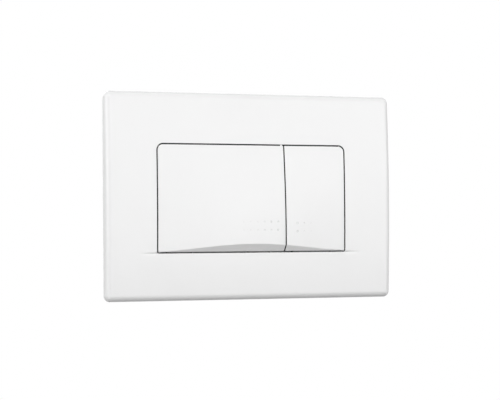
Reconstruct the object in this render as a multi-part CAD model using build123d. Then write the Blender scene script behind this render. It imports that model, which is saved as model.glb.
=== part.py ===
"""Dual-flush button plate for a cistern inside a wall.

Millimetres. The origin is the middle of the cover plate's rear rim, in the plane of the wall. X runs to
the right as seen from the room, Z runs up, the front faces -Y and the cistern lies towards +Y.
"""
from build123d import *
import os
from math import cos, pi, radians, sin, sqrt, tan

# Cover plate
plate_width = 246.0
plate_height = 164.0
plate_corner = 4.9
plate_wall = 2.4
edge_depth = 5.2  # from the wall to the front, at the top and bottom edges
edge_round = 4.6
inside_bevel = 1.2  # behind the rounded edge
crown = 2.6  # how far the middle of the front stands out from those edges

# Button field in the plate
side_margin = 42.2
top_margin = 40.8
bottom_margin = 37.8
field_gap = 1.0
field_top_corner = 5.0
field_foot_corner = 1.2
return_wall = 1.6  # rim that stands behind the plate all round the opening
return_depth = 2.4  # how far that rim reaches behind the middle of the plate's wall

# Buttons
half_button_width = 53.5
button_wall = 2.2
button_back = 1.0  # from the wall's plane forward to the skirts' rear edge
button_foot_corner = 0.6
bulge = 4.5
bulge_tail = 14.2  # how far the bulge runs on into the plate beside the field
lip_slope = 37.3  # degrees between the lip's under-side and the vertical
lip_sink = 0.25  # how far the foot of the lip lies behind the plate's front
button_rib = 1.4
button_rib_clear = 1.5  # from the rib's rear edge to the skirts' rear edge

# Dimples that mark the buttons
dot_pitch_across = 6.0
dot_pitch_up = 6.55
dot_rows = 2
dot_diameter = 1.7
dot_sides = 10
dot_depth = 0.4
full_dot_columns = 6
full_dot_fade = 0.17  # each column away from the divider is this much smaller
full_dot_start = 7.2  # from the divider to the first column
full_dot_height = 24.0  # from the field's foot to the upper row
half_dot_columns = 3
half_dot_fade = 0.42
half_dot_start = 10.3
half_dot_height = 22.9

# Hinge of both buttons
rod_diameter = 3.0
hinge_rise = 4.8  # from the field's top line up to the rod
hinge_back = 0.0  # from the wall's plane back to the rod
ear_radius = 3.2
ear_thickness = 4.0
ear_inset = 1.0  # from the field's side line in to the middle of the outer ear
lug_radius = 2.6
lug_thickness = 4.0
lug_drop = 4.0  # from the field's top line down to the lug's root
lug_lean = 1.8  # how far the root lies in front of the rod
cap_radius = 3.0
cap_length = 5.0
cap_floor = 1.4

# Stop tongues under the buttons
tongue_width = 20.0
tongue_reach = 3.6
tongue_thickness = 1.6
tongue_inset = 10.0  # from the button's sides to the tongues

# Mounting frame in the wall opening
collar_inset_across = 24.0  # from the plate's sides in to the inside of the collar
collar_inset_up = 26.0
collar_wall = 3.0
collar_depth = 24.0
collar_corner = 8.0
flange_width = 10.0
flange_thickness = 2.0
floor_thickness = 2.5
floor_strip = 20.0  # floor left at each end, for the fixing bolts
floor_rail = 8.0  # floor left at the top
window_rib = 6.0
window_corner = 4.0
beam_above_push = 14.0  # floor left above the push rods
seat_rib_length = 14.0
seat_rib_thickness = 1.6

# Snap hooks of the plate, in slots of the collar
hook_spacing = 120.0
hook_width = 10.0
hook_thickness = 2.0
hook_reach = 8.0  # behind the wall's plane
barb_length = 3.0
barb_height = 1.6

# Push rods and what is on them
push_height = 24.2  # from the field's foot up to the rods
push_rod_diameter = 6.0
push_rod_end = 72.0
push_rod_chamfer = 0.8
pusher_width = 10.0
pusher_nose = 3.0
pusher_tip = 1.0  # from the wall's plane back to the nose's tip
head_radius = 9.0
head_thickness = 3.0
head_chamfer = 0.6
nut_width = 9.0
nut_thickness = 3.5
guide_radius = 5.5
guide_flange = 8.0
guide_flange_thickness = 1.5
guide_length = 12.0
spring_radius = 6.3
spring_wire = 1.1
spring_turns = 4.5
spring_chords = 16  # straight stretches of wire in each turn
spring_sides = 6
clip_radius = 5.0
clip_thickness = 1.0
clip_mouth = 3.8
clip_play = 0.5  # from the guide's rear end to the clip
groove_depth = 0.6

# Fixing bolts
bolt_diameter = 6.0
bolt_neck_diameter = 5.2
bolt_neck_spare = 2.0  # from the frame's floor back to the start of the thread
bolt_end = 64.0
bolt_chamfer = 0.8
bolt_inset = 10.0  # from the collar's inside to the bolt
bolt_slot = 16.0
bolt_head_width = 14.0  # across the flats
bolt_head_thickness = 8.0
bolt_coin_slot = 1.8
washer_radius = 8.5
washer_thickness = 1.0

# Stop posts and buffers
post_width = 8.0
post_inset = 18.0  # from the button's sides to its posts
post_below_lip = 1.6  # from the lip's foot up to the posts
press_angle = 7.0  # degrees that a button turns when it is pressed
buffer_thickness = 2.0
buffer_stem_width = 3.0
buffer_bevel = 0.5
buffer_stem_length = 4.0

# Clearances
hold_clearance = 0.02  # rod in its ears, caps and nuts on their rods
running_clearance = 0.06  # lug on the rod, push rod in its guide
guide_clearance = 0.05
side_clearance = 0.3  # moving pieces beside fixed ones
bolt_clearance = 0.4

# Places worked out from the sizes above
field_half = plate_width / 2 - side_margin
field_top = plate_height / 2 - top_margin
field_foot = bottom_margin - plate_height / 2
divider_x = field_half - half_button_width
bulge_reach = field_half + bulge_tail
crown_radius = (plate_height**2 / 4 + crown**2) / (2 * crown)
hinge_z = field_top + hinge_rise
push_z = field_foot + push_height
full_x = (divider_x - field_half) / 2
half_x = (divider_x + field_half) / 2
collar_x = plate_width / 2 - collar_inset_across
collar_z = plate_height / 2 - collar_inset_up
floor_front = collar_depth - floor_thickness
head_front = pusher_tip + side_clearance
head_back = head_front + head_thickness
guide_front = floor_front - guide_flange_thickness
clip_front = floor_front + guide_length + clip_play
groove_radius = push_rod_diameter / 2 - groove_depth
post_z = field_foot + post_below_lip
bolt_places = [bolt_inset - collar_x, collar_x - bolt_inset]
lug_beside_ear = (ear_thickness + lug_thickness) / 2 + side_clearance
ear_places = [ear_inset - field_half, full_x, divider_x, field_half - ear_inset]
full_lug_places = [ear_places[0] + lug_beside_ear, divider_x - lug_beside_ear]
half_lug_places = [divider_x + lug_beside_ear, ear_places[-1] - lug_beside_ear]
FAR = 400.0  # longer than the part, for cutting bodies
SKIN_TOLERANCE = 0.002  # of the surface that is fitted to the bulging front


def plain_y(z):
    """The crowned front of the plate at a height."""
    return crown_radius - edge_depth - crown - sqrt(crown_radius**2 - z**2)


def front_y(x, z):
    """The bulging front that both buttons share."""
    across = cos(pi * x / (2 * bulge_reach)) ** 2
    down = sin(pi * (field_top - z) / (2 * (field_top - field_foot)))
    return plain_y(z) - bulge * across * down


def lip_y(z):
    """The sloping under-side of the buttons' lip at a height."""
    return plain_y(field_foot) + lip_sink - tan(radians(lip_slope)) * (z - field_foot)


def prism(outline, front, back):
    """An outline drawn in X and Z, made solid from one depth to another."""
    return extrude(Plane.XZ.offset(-back) * outline, amount=back - front)


def rod_along_y(radius, front, back, x=0, z=0):
    """A round bar that runs into the wall."""
    return prism(Pos(x, z) * Circle(radius), front, back)


def square_bar(width, front, back, x, z):
    """A square bar that runs into the wall."""
    return prism(Pos(x, z) * Rectangle(width, width), front, back)


def bar_along_x(profile, x, length):
    """A profile drawn in Y and Z, made solid about a place on X."""
    return extrude(Plane.YZ.offset(x) * profile, amount=length / 2, both=True)


def box_between(x0, x1, y0, y1, z0, z1):
    """A block given by its faces."""
    middle = Pos((x0 + x1) / 2, (y0 + y1) / 2, (z0 + z1) / 2)
    return middle * Box(x1 - x0, y1 - y0, z1 - z0)


def rounded_outline(x0, x1, z0, z1, top_left, top_right, foot_right, foot_left):
    """A rectangle with a radius for each corner."""
    corners = [(x0, z1), (x1, z1), (x1, z0), (x0, z0)]
    radii = [top_left, top_right, foot_right, foot_left]
    return make_face(FilletPolyline(*corners, radius=radii, close=True))


def crowned_block(inset, setback):
    """A block from the wall to the crowned front, smaller all round and set back by a wall."""
    half = plate_height / 2 - inset
    edge = plain_y(half) + setback
    middle = plain_y(0) + setback
    outline = Polyline((edge, half), (0, half), (0, -half), (edge, -half))
    front = ThreePointArc((edge, -half), (middle, 0), (edge, half))
    block = bar_along_x(make_face(outline + front), 0, plate_width - 2 * inset)
    return fillet(block.edges().filter_by(Axis.Y), plate_corner - inset)


def front_rim(block):
    """The edges all round the crowned front of a block."""
    return block.faces().sort_by(Axis.Y)[0].outer_wire().edges()


def bulged_block(setback, back):
    """Everything behind the buttons' front, set back by a wall, under the slope of the lip."""
    spare = 4 * field_gap
    across = 12
    up = 8
    left = -field_half - spare
    foot = field_foot - spare
    step_x = 2 * (field_half + spare) / across
    step_z = (field_top - field_foot + 2 * spare) / up
    grid = []
    for i in range(across + 1):
        x = left + i * step_x
        column = []
        for j in range(up + 1):
            z = foot + j * step_z
            column.append((x, front_y(x, z) + setback, z))
        grid.append(column)
    skin = Face.make_surface_from_array_of_points(grid, tol=SKIN_TOLERANCE)
    block = extrude(skin, amount=FAR, dir=(0, 1, 0))
    block = block & box_between(-FAR, FAR, -FAR, back, -FAR, FAR)
    return block - under_lip(setback)


def under_lip(setback):
    """The space in front of the lip's under-side, moved back by a wall."""
    shift = setback / cos(radians(lip_slope))
    low = field_foot - FAR
    high = field_foot + FAR
    edge = [(lip_y(low) + shift, low), (lip_y(high) + shift, high)]
    outline = Polyline(edge[0], edge[1], (lip_y(high) - FAR, low), close=True)
    return bar_along_x(make_face(outline), 0, 2 * FAR)


def bulge_tail_block(side, opening):
    """The end of the bulge in the plate beside the field: the plate's own crown, tilted a little."""
    step = bulge * cos(pi * field_half / (2 * bulge_reach)) ** 2
    reach = min(bulge_tail, side_margin - edge_round - field_gap)
    lean_across = step / bulge_tail
    lean_up = step / (field_top - field_foot)
    crown_axis = crown_radius - edge_depth - crown
    axis_y = crown_axis - step - lean_across * field_half - lean_up * field_foot
    turn = Rot(0, 0, side * lean_across * 180 / pi)
    round_bar = turn * Rot(0, 90, 0) * Cylinder(crown_radius, FAR)
    round_bar = Pos(0, axis_y, -lean_up * crown_radius) * round_bar
    inner = side * (field_half - field_gap)
    outer = side * (field_half + reach)
    front = plain_y(0) - bulge
    back = plain_y(field_foot) + plate_wall / 2
    region = box_between(min(inner, outer), max(inner, outer), front, back, field_foot, field_top)
    return (round_bar & (region - opening)) - under_lip(0)


def field_outline(inset):
    """The button field: its opening in the plate when the inset is negative."""
    top = field_top_corner - inset
    foot = field_foot_corner - inset
    half = field_half - inset
    return rounded_outline(-half, half, field_foot + inset, field_top - inset, top, top, foot, foot)


def return_back():
    """The depth of the rim behind the opening."""
    return plain_y(0) + plate_wall + return_depth


def opening_rim():
    """A rim behind the plate all round the opening, with notches for the buttons' lugs."""
    front = plain_y(0) + plate_wall / 2
    rim = prism(field_outline(-field_gap / 2 - return_wall), front, return_back())
    half = lug_thickness / 2 + side_clearance
    high = field_top + field_gap + return_wall
    for x in full_lug_places + half_lug_places:
        rim -= box_between(x - half, x + half, front, return_back(), field_top, high)
    return rim


def hinge_ear(x):
    """An ear behind the plate that carries the hinge rod."""
    root = plain_y(hinge_z) + plate_wall / 2
    neck = Pos((root + hinge_back) / 2, hinge_z) * Rectangle(hinge_back - root, 2 * ear_radius)
    eye = Pos(hinge_back, hinge_z) * Circle(ear_radius)
    hole = Pos(hinge_back, hinge_z) * Circle(rod_diameter / 2 + hold_clearance)
    return bar_along_x(neck + eye - hole, x, ear_thickness)


def snap_hook(x, side):
    """A hook behind the plate, whose barb holds in a slot of the collar."""
    outer = collar_z - side_clearance
    root = plain_y(outer) + plate_wall / 2
    tip = hook_reach
    points = [
        (root, outer - hook_thickness),
        (root, outer),
        (tip - barb_length, outer),
        (tip - barb_length, outer + barb_height),
        (tip, outer),
        (tip, outer - hook_thickness),
    ]
    outline = make_face(Polyline(*[(y, side * z) for y, z in points], close=True))
    return bar_along_x(outline, x, hook_width)


def seat_ribs():
    """Short ribs that seat the plate on the frame's flange."""
    back = -flange_thickness
    across = collar_x + collar_wall + flange_width / 2
    up = collar_z + collar_wall + flange_width / 2
    long = seat_rib_length / 2
    thin = seat_rib_thickness / 2
    ribs = []
    for side in (-1, 1):
        front = plain_y(long) + plate_wall / 2
        ribs.append(box_between(side * across - thin, side * across + thin, front, back, -long, long))
        front = plain_y(up) + plate_wall / 2
        for x in (-hook_spacing / 2, 0, hook_spacing / 2):
            ribs.append(box_between(x - long, x + long, front, back, side * up - thin, side * up + thin))
    return ribs


def make_cover_plate():
    """Crowned shell with the field's opening, and what holds the hinge and the frame behind it."""
    outside = crowned_block(0, 0)
    rounding = min(edge_round, plate_corner - side_clearance, edge_depth - side_clearance)
    outside = fillet(front_rim(outside), rounding)
    inside = crowned_block(plate_wall, plate_wall)
    inside = chamfer(front_rim(inside), inside_bevel)
    opening = prism(field_outline(-field_gap / 2), -FAR, 0)
    plate = outside - inside + opening_rim() - opening
    plate += [bulge_tail_block(-1, opening), bulge_tail_block(1, opening)]
    plate += [hinge_ear(x) for x in ear_places]
    plate += [snap_hook(x, side) for x in (-hook_spacing / 2, hook_spacing / 2) for side in (-1, 1)]
    plate += seat_ribs()
    return plate


def hinge_lug(x):
    """A lug at the top of a button, on the hinge rod."""
    root = Vector(hinge_back - lug_lean, field_top - lug_drop)
    eye = Vector(hinge_back, hinge_z)
    arm = SlotCenterPoint((root + eye) / 2, eye, 2 * lug_radius)
    hole = Pos(eye) * Circle(rod_diameter / 2 + running_clearance)
    return bar_along_x(arm - hole, x, lug_thickness)


def pusher(x):
    """A rib with a round nose behind a button that presses on the push rod's head."""
    root = front_y(x, push_z) + button_wall / 2
    centre = pusher_tip - pusher_nose
    stem = Pos((root + centre) / 2, push_z) * Rectangle(centre - root, 2 * pusher_nose)
    nose = Pos(centre, push_z) * Circle(pusher_nose)
    return bar_along_x(stem + nose, x, pusher_width)


def stop_tongue(x):
    """A tongue under a button that rests behind the rim of the opening."""
    low = field_foot - tongue_reach
    front = return_back() + side_clearance
    half = tongue_width / 2
    high = field_foot + button_wall
    return box_between(x - half, x + half, front, front + tongue_thickness, low, high)


def cover_strip(x0, x1):
    """A strip along a button's top edge that closes the gap from behind the plate."""
    high = hinge_z - ear_radius - side_clearance
    front = return_back() + side_clearance
    low = field_top - field_gap / 2 - button_wall
    return box_between(x0, x1, front, front + tongue_thickness, low, high)


def dimples(start, direction, columns, fade, height):
    """Rows of round, flat dimples that grow smaller away from the divider."""
    cutters = []
    for column in range(columns):
        x = divider_x + direction * (start + column * dot_pitch_across)
        radius = (dot_diameter - column * fade) / 2
        for row in range(dot_rows):
            z = field_foot + height - row * dot_pitch_up
            front = front_y(x, z)
            dot = Pos(x, z) * RegularPolygon(radius, dot_sides)
            cutters.append(prism(dot, front - dot_depth, front + dot_depth))
    return cutters


def make_button(left, right, top_corners, rib_places, lug_places, cutters):
    """A button between two lines of the field, with its hinge lugs, pusher and stop tongues."""
    gap = field_gap / 2
    x0 = left + gap
    x1 = right - gap
    z0 = field_foot + gap
    z1 = field_top - gap
    foot = button_foot_corner
    outline = rounded_outline(x0, x1, z0, z1, top_corners[0], top_corners[1], foot, foot)
    shell = bulged_block(0, -button_back) & prism(outline, -FAR, 0)
    hollow = rounded_outline(
        x0 + button_wall,
        x1 - button_wall,
        z0 + button_wall,
        z1 - button_wall,
        max(top_corners[0] - button_wall, foot),
        max(top_corners[1] - button_wall, foot),
        foot,
        foot,
    )
    hollow = bulged_block(button_wall, FAR) & prism(hollow, -FAR, 0)
    button = shell - hollow
    rib_back = -button_back - button_rib_clear
    ribs = [
        box_between(x - button_rib / 2, x + button_rib / 2, -FAR, rib_back, z0 + gap, z1 - gap) & shell
        for x in rib_places
    ]
    middle = (x0 + x1) / 2
    button += ribs
    button += pusher(middle)
    button += [hinge_lug(x) for x in lug_places]
    button += cover_strip(x0 + top_corners[0], x1 - top_corners[1])
    side = tongue_inset + tongue_width / 2
    button += [stop_tongue(x) for x in sorted({min(x0 + side, middle), max(x1 - side, middle)})]
    return button - cutters


def make_full_button():
    """The wide button on the left."""
    corners = (field_top_corner - field_gap / 2, button_foot_corner)
    quarter = (divider_x + field_half) / 4
    ribs = [full_x - quarter, full_x + quarter]
    cutters = dimples(full_dot_start, -1, full_dot_columns, full_dot_fade, full_dot_height)
    return make_button(-field_half, divider_x, corners, ribs, full_lug_places, cutters)


def make_half_button():
    """The narrow button on the right."""
    corners = (button_foot_corner, field_top_corner - field_gap / 2)
    quarter = half_button_width / 4
    ribs = [half_x - quarter, half_x + quarter]
    cutters = dimples(half_dot_start, 1, half_dot_columns, half_dot_fade, half_dot_height)
    return make_button(divider_x, field_half, corners, ribs, half_lug_places, cutters)


def rod_half_length():
    """Half the hinge rod: out through the outer ears and into its caps."""
    ear_face = ear_places[-1] + ear_thickness / 2
    return ear_face + cap_length - cap_floor


def make_hinge_rod():
    """The rod on which both buttons turn."""
    rod = Rot(0, 90, 0) * Cylinder(rod_diameter / 2, 2 * rod_half_length())
    return Pos(0, hinge_back, hinge_z) * rod


def make_hinge_rod_caps():
    """A push-on cap at each end of the hinge rod."""
    caps = []
    for side in (-1, 1):
        inner = ear_places[-1] + ear_thickness / 2 + side_clearance
        middle = side * (inner + cap_length / 2)
        outline = Pos(hinge_back, hinge_z) * Circle(cap_radius)
        cap = bar_along_x(outline, middle, cap_length)
        bore = Pos(hinge_back, hinge_z) * Circle(rod_diameter / 2 + hold_clearance)
        caps.append(cap - bar_along_x(bore, middle - side * cap_floor, cap_length))
    return caps


def post_places():
    """Where the stop posts stand: two behind the foot of each button."""
    return {
        "full": [post_inset - field_half, divider_x - post_inset],
        "half": [divider_x + post_inset, field_half - post_inset],
    }


def post_front():
    """The height of the posts: under a button's skirt when it is pressed home."""
    turn = radians(press_angle)
    skirt = (hinge_z - post_z + post_width / 2) * sin(turn) - (button_back + hinge_back) * cos(turn)
    return skirt + side_clearance + buffer_thickness


def stem_end():
    """How deep the holes for the buffers' stems reach into the posts."""
    return post_front() + buffer_stem_length


def make_mounting_frame():
    """Flange on the wall, collar in its opening, and a floor with windows that carries the rods."""
    outer_corner = collar_corner + collar_wall
    flange_corner = outer_corner + flange_width
    collar_out_x = collar_x + collar_wall
    collar_out_z = collar_z + collar_wall
    inside = RectangleRounded(2 * collar_x, 2 * collar_z, collar_corner)
    outside = RectangleRounded(2 * collar_out_x, 2 * collar_out_z, outer_corner)
    flange_x = collar_out_x + flange_width
    flange_z = collar_out_z + flange_width
    flange = RectangleRounded(2 * flange_x, 2 * flange_z, flange_corner)
    frame = prism(flange, -flange_thickness, 0) + prism(outside, -flange_thickness, collar_depth)
    frame -= prism(inside, -FAR, floor_front)
    window_low = push_z + beam_above_push
    window_high = collar_z - floor_rail
    window_wide = collar_x - floor_strip
    rib_left = divider_x - window_rib / 2
    rib_right = divider_x + window_rib / 2
    for x0, x1 in ((-window_wide, rib_left), (rib_right, window_wide)):
        round4 = [window_corner] * 4
        frame -= prism(rounded_outline(x0, x1, window_low, window_high, *round4), 0, FAR)
    frame -= [rod_along_y(guide_radius + guide_clearance, 0, FAR, x, push_z) for x in (full_x, half_x)]
    slot_width = bolt_diameter + 2 * bolt_clearance
    for x in bolt_places:
        slot = Pos(x, 0) * SlotOverall(bolt_slot, slot_width, rotation=90)
        frame -= prism(slot, 0, FAR)
    half_hook = hook_width / 2 + side_clearance
    slot_front = hook_reach - barb_length - side_clearance
    slot_back = hook_reach + side_clearance
    for x in (-hook_spacing / 2, hook_spacing / 2):
        frame -= box_between(x - half_hook, x + half_hook, slot_front, slot_back, -FAR, FAR)
    for x in post_places()["full"] + post_places()["half"]:
        post = square_bar(post_width, post_front(), floor_front, x, post_z)
        hole = square_bar(buffer_stem_width + 2 * hold_clearance, 0, stem_end(), x, post_z)
        frame = frame + post - hole
    return frame


def make_buffers(which):
    """Rubber buffers on the stop posts of a button, each with a stem in its post."""
    front = post_front() - buffer_thickness
    buffers = []
    for x in post_places()[which]:
        pad = square_bar(post_width, front, post_front(), x, post_z)
        pad = chamfer(pad.faces().sort_by(Axis.Y)[0].edges(), buffer_bevel)
        stem = square_bar(buffer_stem_width, post_front(), stem_end() - side_clearance, x, post_z)
        buffers.append(pad + stem)
    return buffers


def fixing_bolt(x):
    """A bolt with a tall hexagon head and a coin slot, a thin neck and a shank for the thread."""
    back = floor_front - washer_thickness
    front = back - bolt_head_thickness
    hexagon = RegularPolygon(bolt_head_width / 2, 6, major_radius=False)
    head = prism(Pos(x, 0) * hexagon, front, back)
    deep = bolt_head_thickness / 3
    half = bolt_coin_slot / 2
    head -= box_between(x - FAR, x + FAR, front, front + deep, -half, half)
    thread_start = collar_depth + bolt_neck_spare
    neck = rod_along_y(bolt_neck_diameter / 2, back, thread_start, x)
    shank = rod_along_y(bolt_diameter / 2, thread_start, bolt_end, x)
    return head + neck + chamfer(shank.faces().sort_by(Axis.Y)[-1].edges(), bolt_chamfer)


def make_fixing_bolts():
    """A bolt at each end of the frame."""
    return [fixing_bolt(x) for x in bolt_places]


def make_fixing_washers():
    """A washer under each bolt's head."""
    washers = []
    for x in bolt_places:
        disc = rod_along_y(washer_radius, floor_front - washer_thickness, floor_front, x)
        washers.append(disc - rod_along_y(bolt_diameter / 2 + guide_clearance, 0, FAR, x))
    return washers


def make_push_rod(x):
    """A rod with a groove for its clip, its threads left plain."""
    rod = rod_along_y(push_rod_diameter / 2, head_front + head_chamfer, push_rod_end, x, push_z)
    rod = chamfer(rod.faces().sort_by(Axis.Y)[-1].edges(), push_rod_chamfer)
    back = clip_front + clip_thickness + hold_clearance
    ring = Pos(x, push_z) * (Circle(push_rod_diameter) - Circle(groove_radius))
    return rod - prism(ring, clip_front - hold_clearance, back)


def make_rod_clip(x):
    """An open clip in the rod's groove, which stops the rod at its guide when the plate is off."""
    mouth = Pos(0, -clip_radius) * Rectangle(clip_mouth, 2 * clip_radius)
    outline = Circle(clip_radius) - Circle(groove_radius + hold_clearance) - mouth
    return prism(Pos(x, push_z) * outline, clip_front, clip_front + clip_thickness)


def make_push_head(x):
    """A disc on the front of a push rod, which the spring presses forward."""
    disc = rod_along_y(head_radius, head_front, head_back, x, push_z)
    disc = chamfer(disc.faces().sort_by(Axis.Y)[0].edges(), head_chamfer)
    return disc - rod_along_y(push_rod_diameter / 2 + hold_clearance, head_front, FAR, x, push_z)


def make_lock_nut(x):
    """A hexagon nut that locks the head on its rod."""
    outline = Pos(x, push_z) * RegularPolygon(nut_width / 2, 6, major_radius=False)
    bore = Pos(x, push_z) * Circle(push_rod_diameter / 2 + hold_clearance)
    return prism(outline - bore, head_back, head_back + nut_thickness)


def make_rod_guide(x):
    """A flanged bush in the frame's floor, in which a push rod slides."""
    flange = rod_along_y(guide_flange, guide_front, floor_front, x, push_z)
    tube = rod_along_y(guide_radius, floor_front, floor_front + guide_length, x, push_z)
    return flange + tube - rod_along_y(push_rod_diameter / 2 + running_clearance, 0, FAR, x, push_z)


def make_return_spring(x):
    """A coil spring between a push head and the flange of its guide, bent from short chords."""
    start = head_back + spring_wire / 2 + hold_clearance
    height = guide_front - spring_wire / 2 - hold_clearance - start
    steps = round(spring_turns * spring_chords)
    points = []
    for i in range(steps + 1):
        turn = 2 * pi * i / spring_chords
        y = start + height * i / steps
        points.append((x + spring_radius * cos(turn), y, push_z + spring_radius * sin(turn)))
    coil = Polyline(*points)
    section = Plane(coil @ 0, z_dir=coil % 0) * RegularPolygon(spring_wire / 2, spring_sides)
    return sweep(section, path=coil, transition=Transition.RIGHT)


def all_pieces():
    """Every piece by its name."""
    pieces = {
        "cover_plate": make_cover_plate(),
        "full_flush_button": make_full_button(),
        "half_flush_button": make_half_button(),
        "hinge_rod": make_hinge_rod(),
        "hinge_rod_caps": make_hinge_rod_caps(),
        "mounting_frame": make_mounting_frame(),
        "fixing_bolts": make_fixing_bolts(),
        "fixing_washers": make_fixing_washers(),
    }
    for which, x in (("full", full_x), ("half", half_x)):
        pieces[which + "_push_rod"] = make_push_rod(x)
        pieces[which + "_push_head"] = make_push_head(x)
        pieces[which + "_lock_nut"] = make_lock_nut(x)
        pieces[which + "_rod_guide"] = make_rod_guide(x)
        pieces[which + "_rod_clip"] = make_rod_clip(x)
        pieces[which + "_return_spring"] = make_return_spring(x)
        pieces[which + "_button_buffers"] = make_buffers(which)
    return pieces


def main():
    """Write one file for each piece."""
    os.makedirs("parts", exist_ok=True)
    for name, shape in all_pieces().items():
        solids = shape if isinstance(shape, list) else [shape]
        export_step(Compound(children=[s for item in solids for s in item.solids()]), f"parts/{name}.step")


main()
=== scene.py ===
"""Looks of a dual-flush button plate: moulded pieces, threads, springs, finishes and a small studio.

Metres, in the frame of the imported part: X to the right as seen from the room, Z up, front towards -Y.
"""
from math import cos, pi, radians, sin, tan

import bmesh
import bpy
import numpy as np
from bpy.props import FloatProperty, FloatVectorProperty, IntProperty, PointerProperty
from bpy.types import Operator, Panel, PropertyGroup
from mathutils import Matrix, Vector


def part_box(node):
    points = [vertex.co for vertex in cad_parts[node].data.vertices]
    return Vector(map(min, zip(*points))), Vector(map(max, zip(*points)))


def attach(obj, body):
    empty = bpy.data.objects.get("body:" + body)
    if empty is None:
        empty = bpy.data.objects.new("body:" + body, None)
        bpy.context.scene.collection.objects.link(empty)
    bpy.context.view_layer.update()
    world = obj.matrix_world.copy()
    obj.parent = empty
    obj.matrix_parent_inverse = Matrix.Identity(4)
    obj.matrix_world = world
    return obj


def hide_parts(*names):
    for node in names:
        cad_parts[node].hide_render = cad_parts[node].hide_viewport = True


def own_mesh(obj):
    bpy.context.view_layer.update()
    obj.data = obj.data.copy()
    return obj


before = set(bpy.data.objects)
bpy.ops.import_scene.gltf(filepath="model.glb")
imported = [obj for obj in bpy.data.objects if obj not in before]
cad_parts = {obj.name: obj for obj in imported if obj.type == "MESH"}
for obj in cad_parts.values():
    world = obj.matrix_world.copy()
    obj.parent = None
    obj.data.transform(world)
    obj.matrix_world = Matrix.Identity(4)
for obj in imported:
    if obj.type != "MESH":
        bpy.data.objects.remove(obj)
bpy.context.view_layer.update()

bl_info = {
    "name": "Flush plate looks",
    "version": (1, 0, 0),
    "blender": (4, 5, 0),
    "location": "View3D > Sidebar > Flush plate",
    "description": "Builds the visible pieces, the finishes and the studio of a dual-flush button plate",
    "category": "Object",
}

MM = 0.001


def middle(node):
    """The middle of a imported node's box."""
    low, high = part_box(node)
    return (low + high) / 2


def half_size(node, axis):
    """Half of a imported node's size along one axis."""
    low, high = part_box(node)
    return (getattr(high, axis) - getattr(low, axis)) / 2


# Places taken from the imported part
PLATE_LOW, PLATE_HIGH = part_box("cover_plate")
FULL_LOW, FULL_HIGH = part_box("full_flush_button")
HALF_LOW, HALF_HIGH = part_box("half_flush_button")
FRAME_LOW, FRAME_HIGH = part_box("mounting_frame")
FIELD_GAP = HALF_LOW.x - FULL_HIGH.x
DIVIDER_X = (HALF_LOW.x + FULL_HIGH.x) / 2
FIELD_HALF = HALF_HIGH.x + FIELD_GAP / 2
FULL_X = (DIVIDER_X - FIELD_HALF) / 2
HINGE = middle("hinge_rod")
SIDES = ("full", "half")

# Clearances and small edge roundings that every moulded piece shares
HOLD_CLEARANCE = 0.02 * MM
RUNNING_CLEARANCE = 0.06 * MM
SIDE_CLEARANCE = 0.3 * MM
FINE_EDGE = 0.15 * MM
SMOOTH_ANGLE = radians(34)
QUARTER = np.radians([0, 30, 60, 90])  # steps of a small rounding


def length(name, description, millimetres):
    """A length property, given in millimetres."""
    return FloatProperty(
        name=name, description=description, default=millimetres * MM, unit="LENGTH", precision=5
    )


def colour(name, description, rgb):
    """A colour property, given as linear red, green and blue."""
    return FloatVectorProperty(
        name=name, description=description, default=rgb, subtype="COLOR", size=3, min=0, max=1
    )


def turn(name, description, degrees):
    """An angle property, given in degrees."""
    return FloatProperty(name=name, description=description, default=radians(degrees), subtype="ANGLE")


def plain(name, description, value):
    """A property without a unit."""
    return FloatProperty(name=name, description=description, default=value, precision=3)


class FlushPlateFront(PropertyGroup):
    """Sizes of the crowned front and of the buttons that bulge out of it."""

    edge_depth: length("Edge depth", "From the wall to the front at the plate's upper and lower edge", 5.2)
    crown: length("Crown", "How far the middle of the front stands out from those edges", 2.6)
    edge_round: length("Edge rounding", "Radius of the plate's outer edge", 4.6)
    corner: length("Plate corner", "Radius of the plate's corners", 4.9)
    wall: length("Plate wall", "Wall of the plate", 2.4)
    return_wall: length("Return wall", "Wall of the rim behind the opening", 1.6)
    return_depth: length("Return depth", "How far that rim reaches behind the plate's wall", 2.4)
    inside_bevel: length("Inside bevel", "Bevel behind the plate's rounded edge", 1.2)
    top_margin: length("Top margin", "From the plate's upper edge to the buttons", 40.8)
    bottom_margin: length("Bottom margin", "From the plate's lower edge to the buttons", 37.8)
    top_corner: length("Field top corner", "Radius of the buttons' outer top corners", 5.0)
    foot_corner: length("Field foot corner", "Radius of the opening's lower corners", 1.2)
    button_corner: length("Button corner", "Radius of the buttons' other corners", 0.6)
    bulge: length("Bulge", "How far the buttons' lower edge stands out", 4.5)
    bulge_tail: length("Bulge tail", "How far the bulge runs on into the plate", 14.2)
    lip_slope: turn("Lip slope", "Slope of the lip's under-side from the vertical", 37.3)
    lip_sink: length("Lip sink", "How far the lip's foot lies behind the plate's front", 0.25)
    lip_soft: length("Lip softness", "Rounding of the lip's edge", 0.22)
    crease: length("Crease", "Depth of the fine line that runs on from the lower gap into the plate", 0.7)
    crease_rise: length("Crease rise", "Height of that line's steep upper side", 0.45)
    crease_fall: length("Crease fall", "Height of that line's gentle lower side", 2.2)
    edge_break: length("Edge break", "Small rounding of the edges along the gaps", 0.3)
    button_wall: length("Button wall", "Wall of the buttons", 2.2)
    button_back: length("Button back", "From the wall's plane forward to the skirts' rear edge", 1.0)


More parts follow.
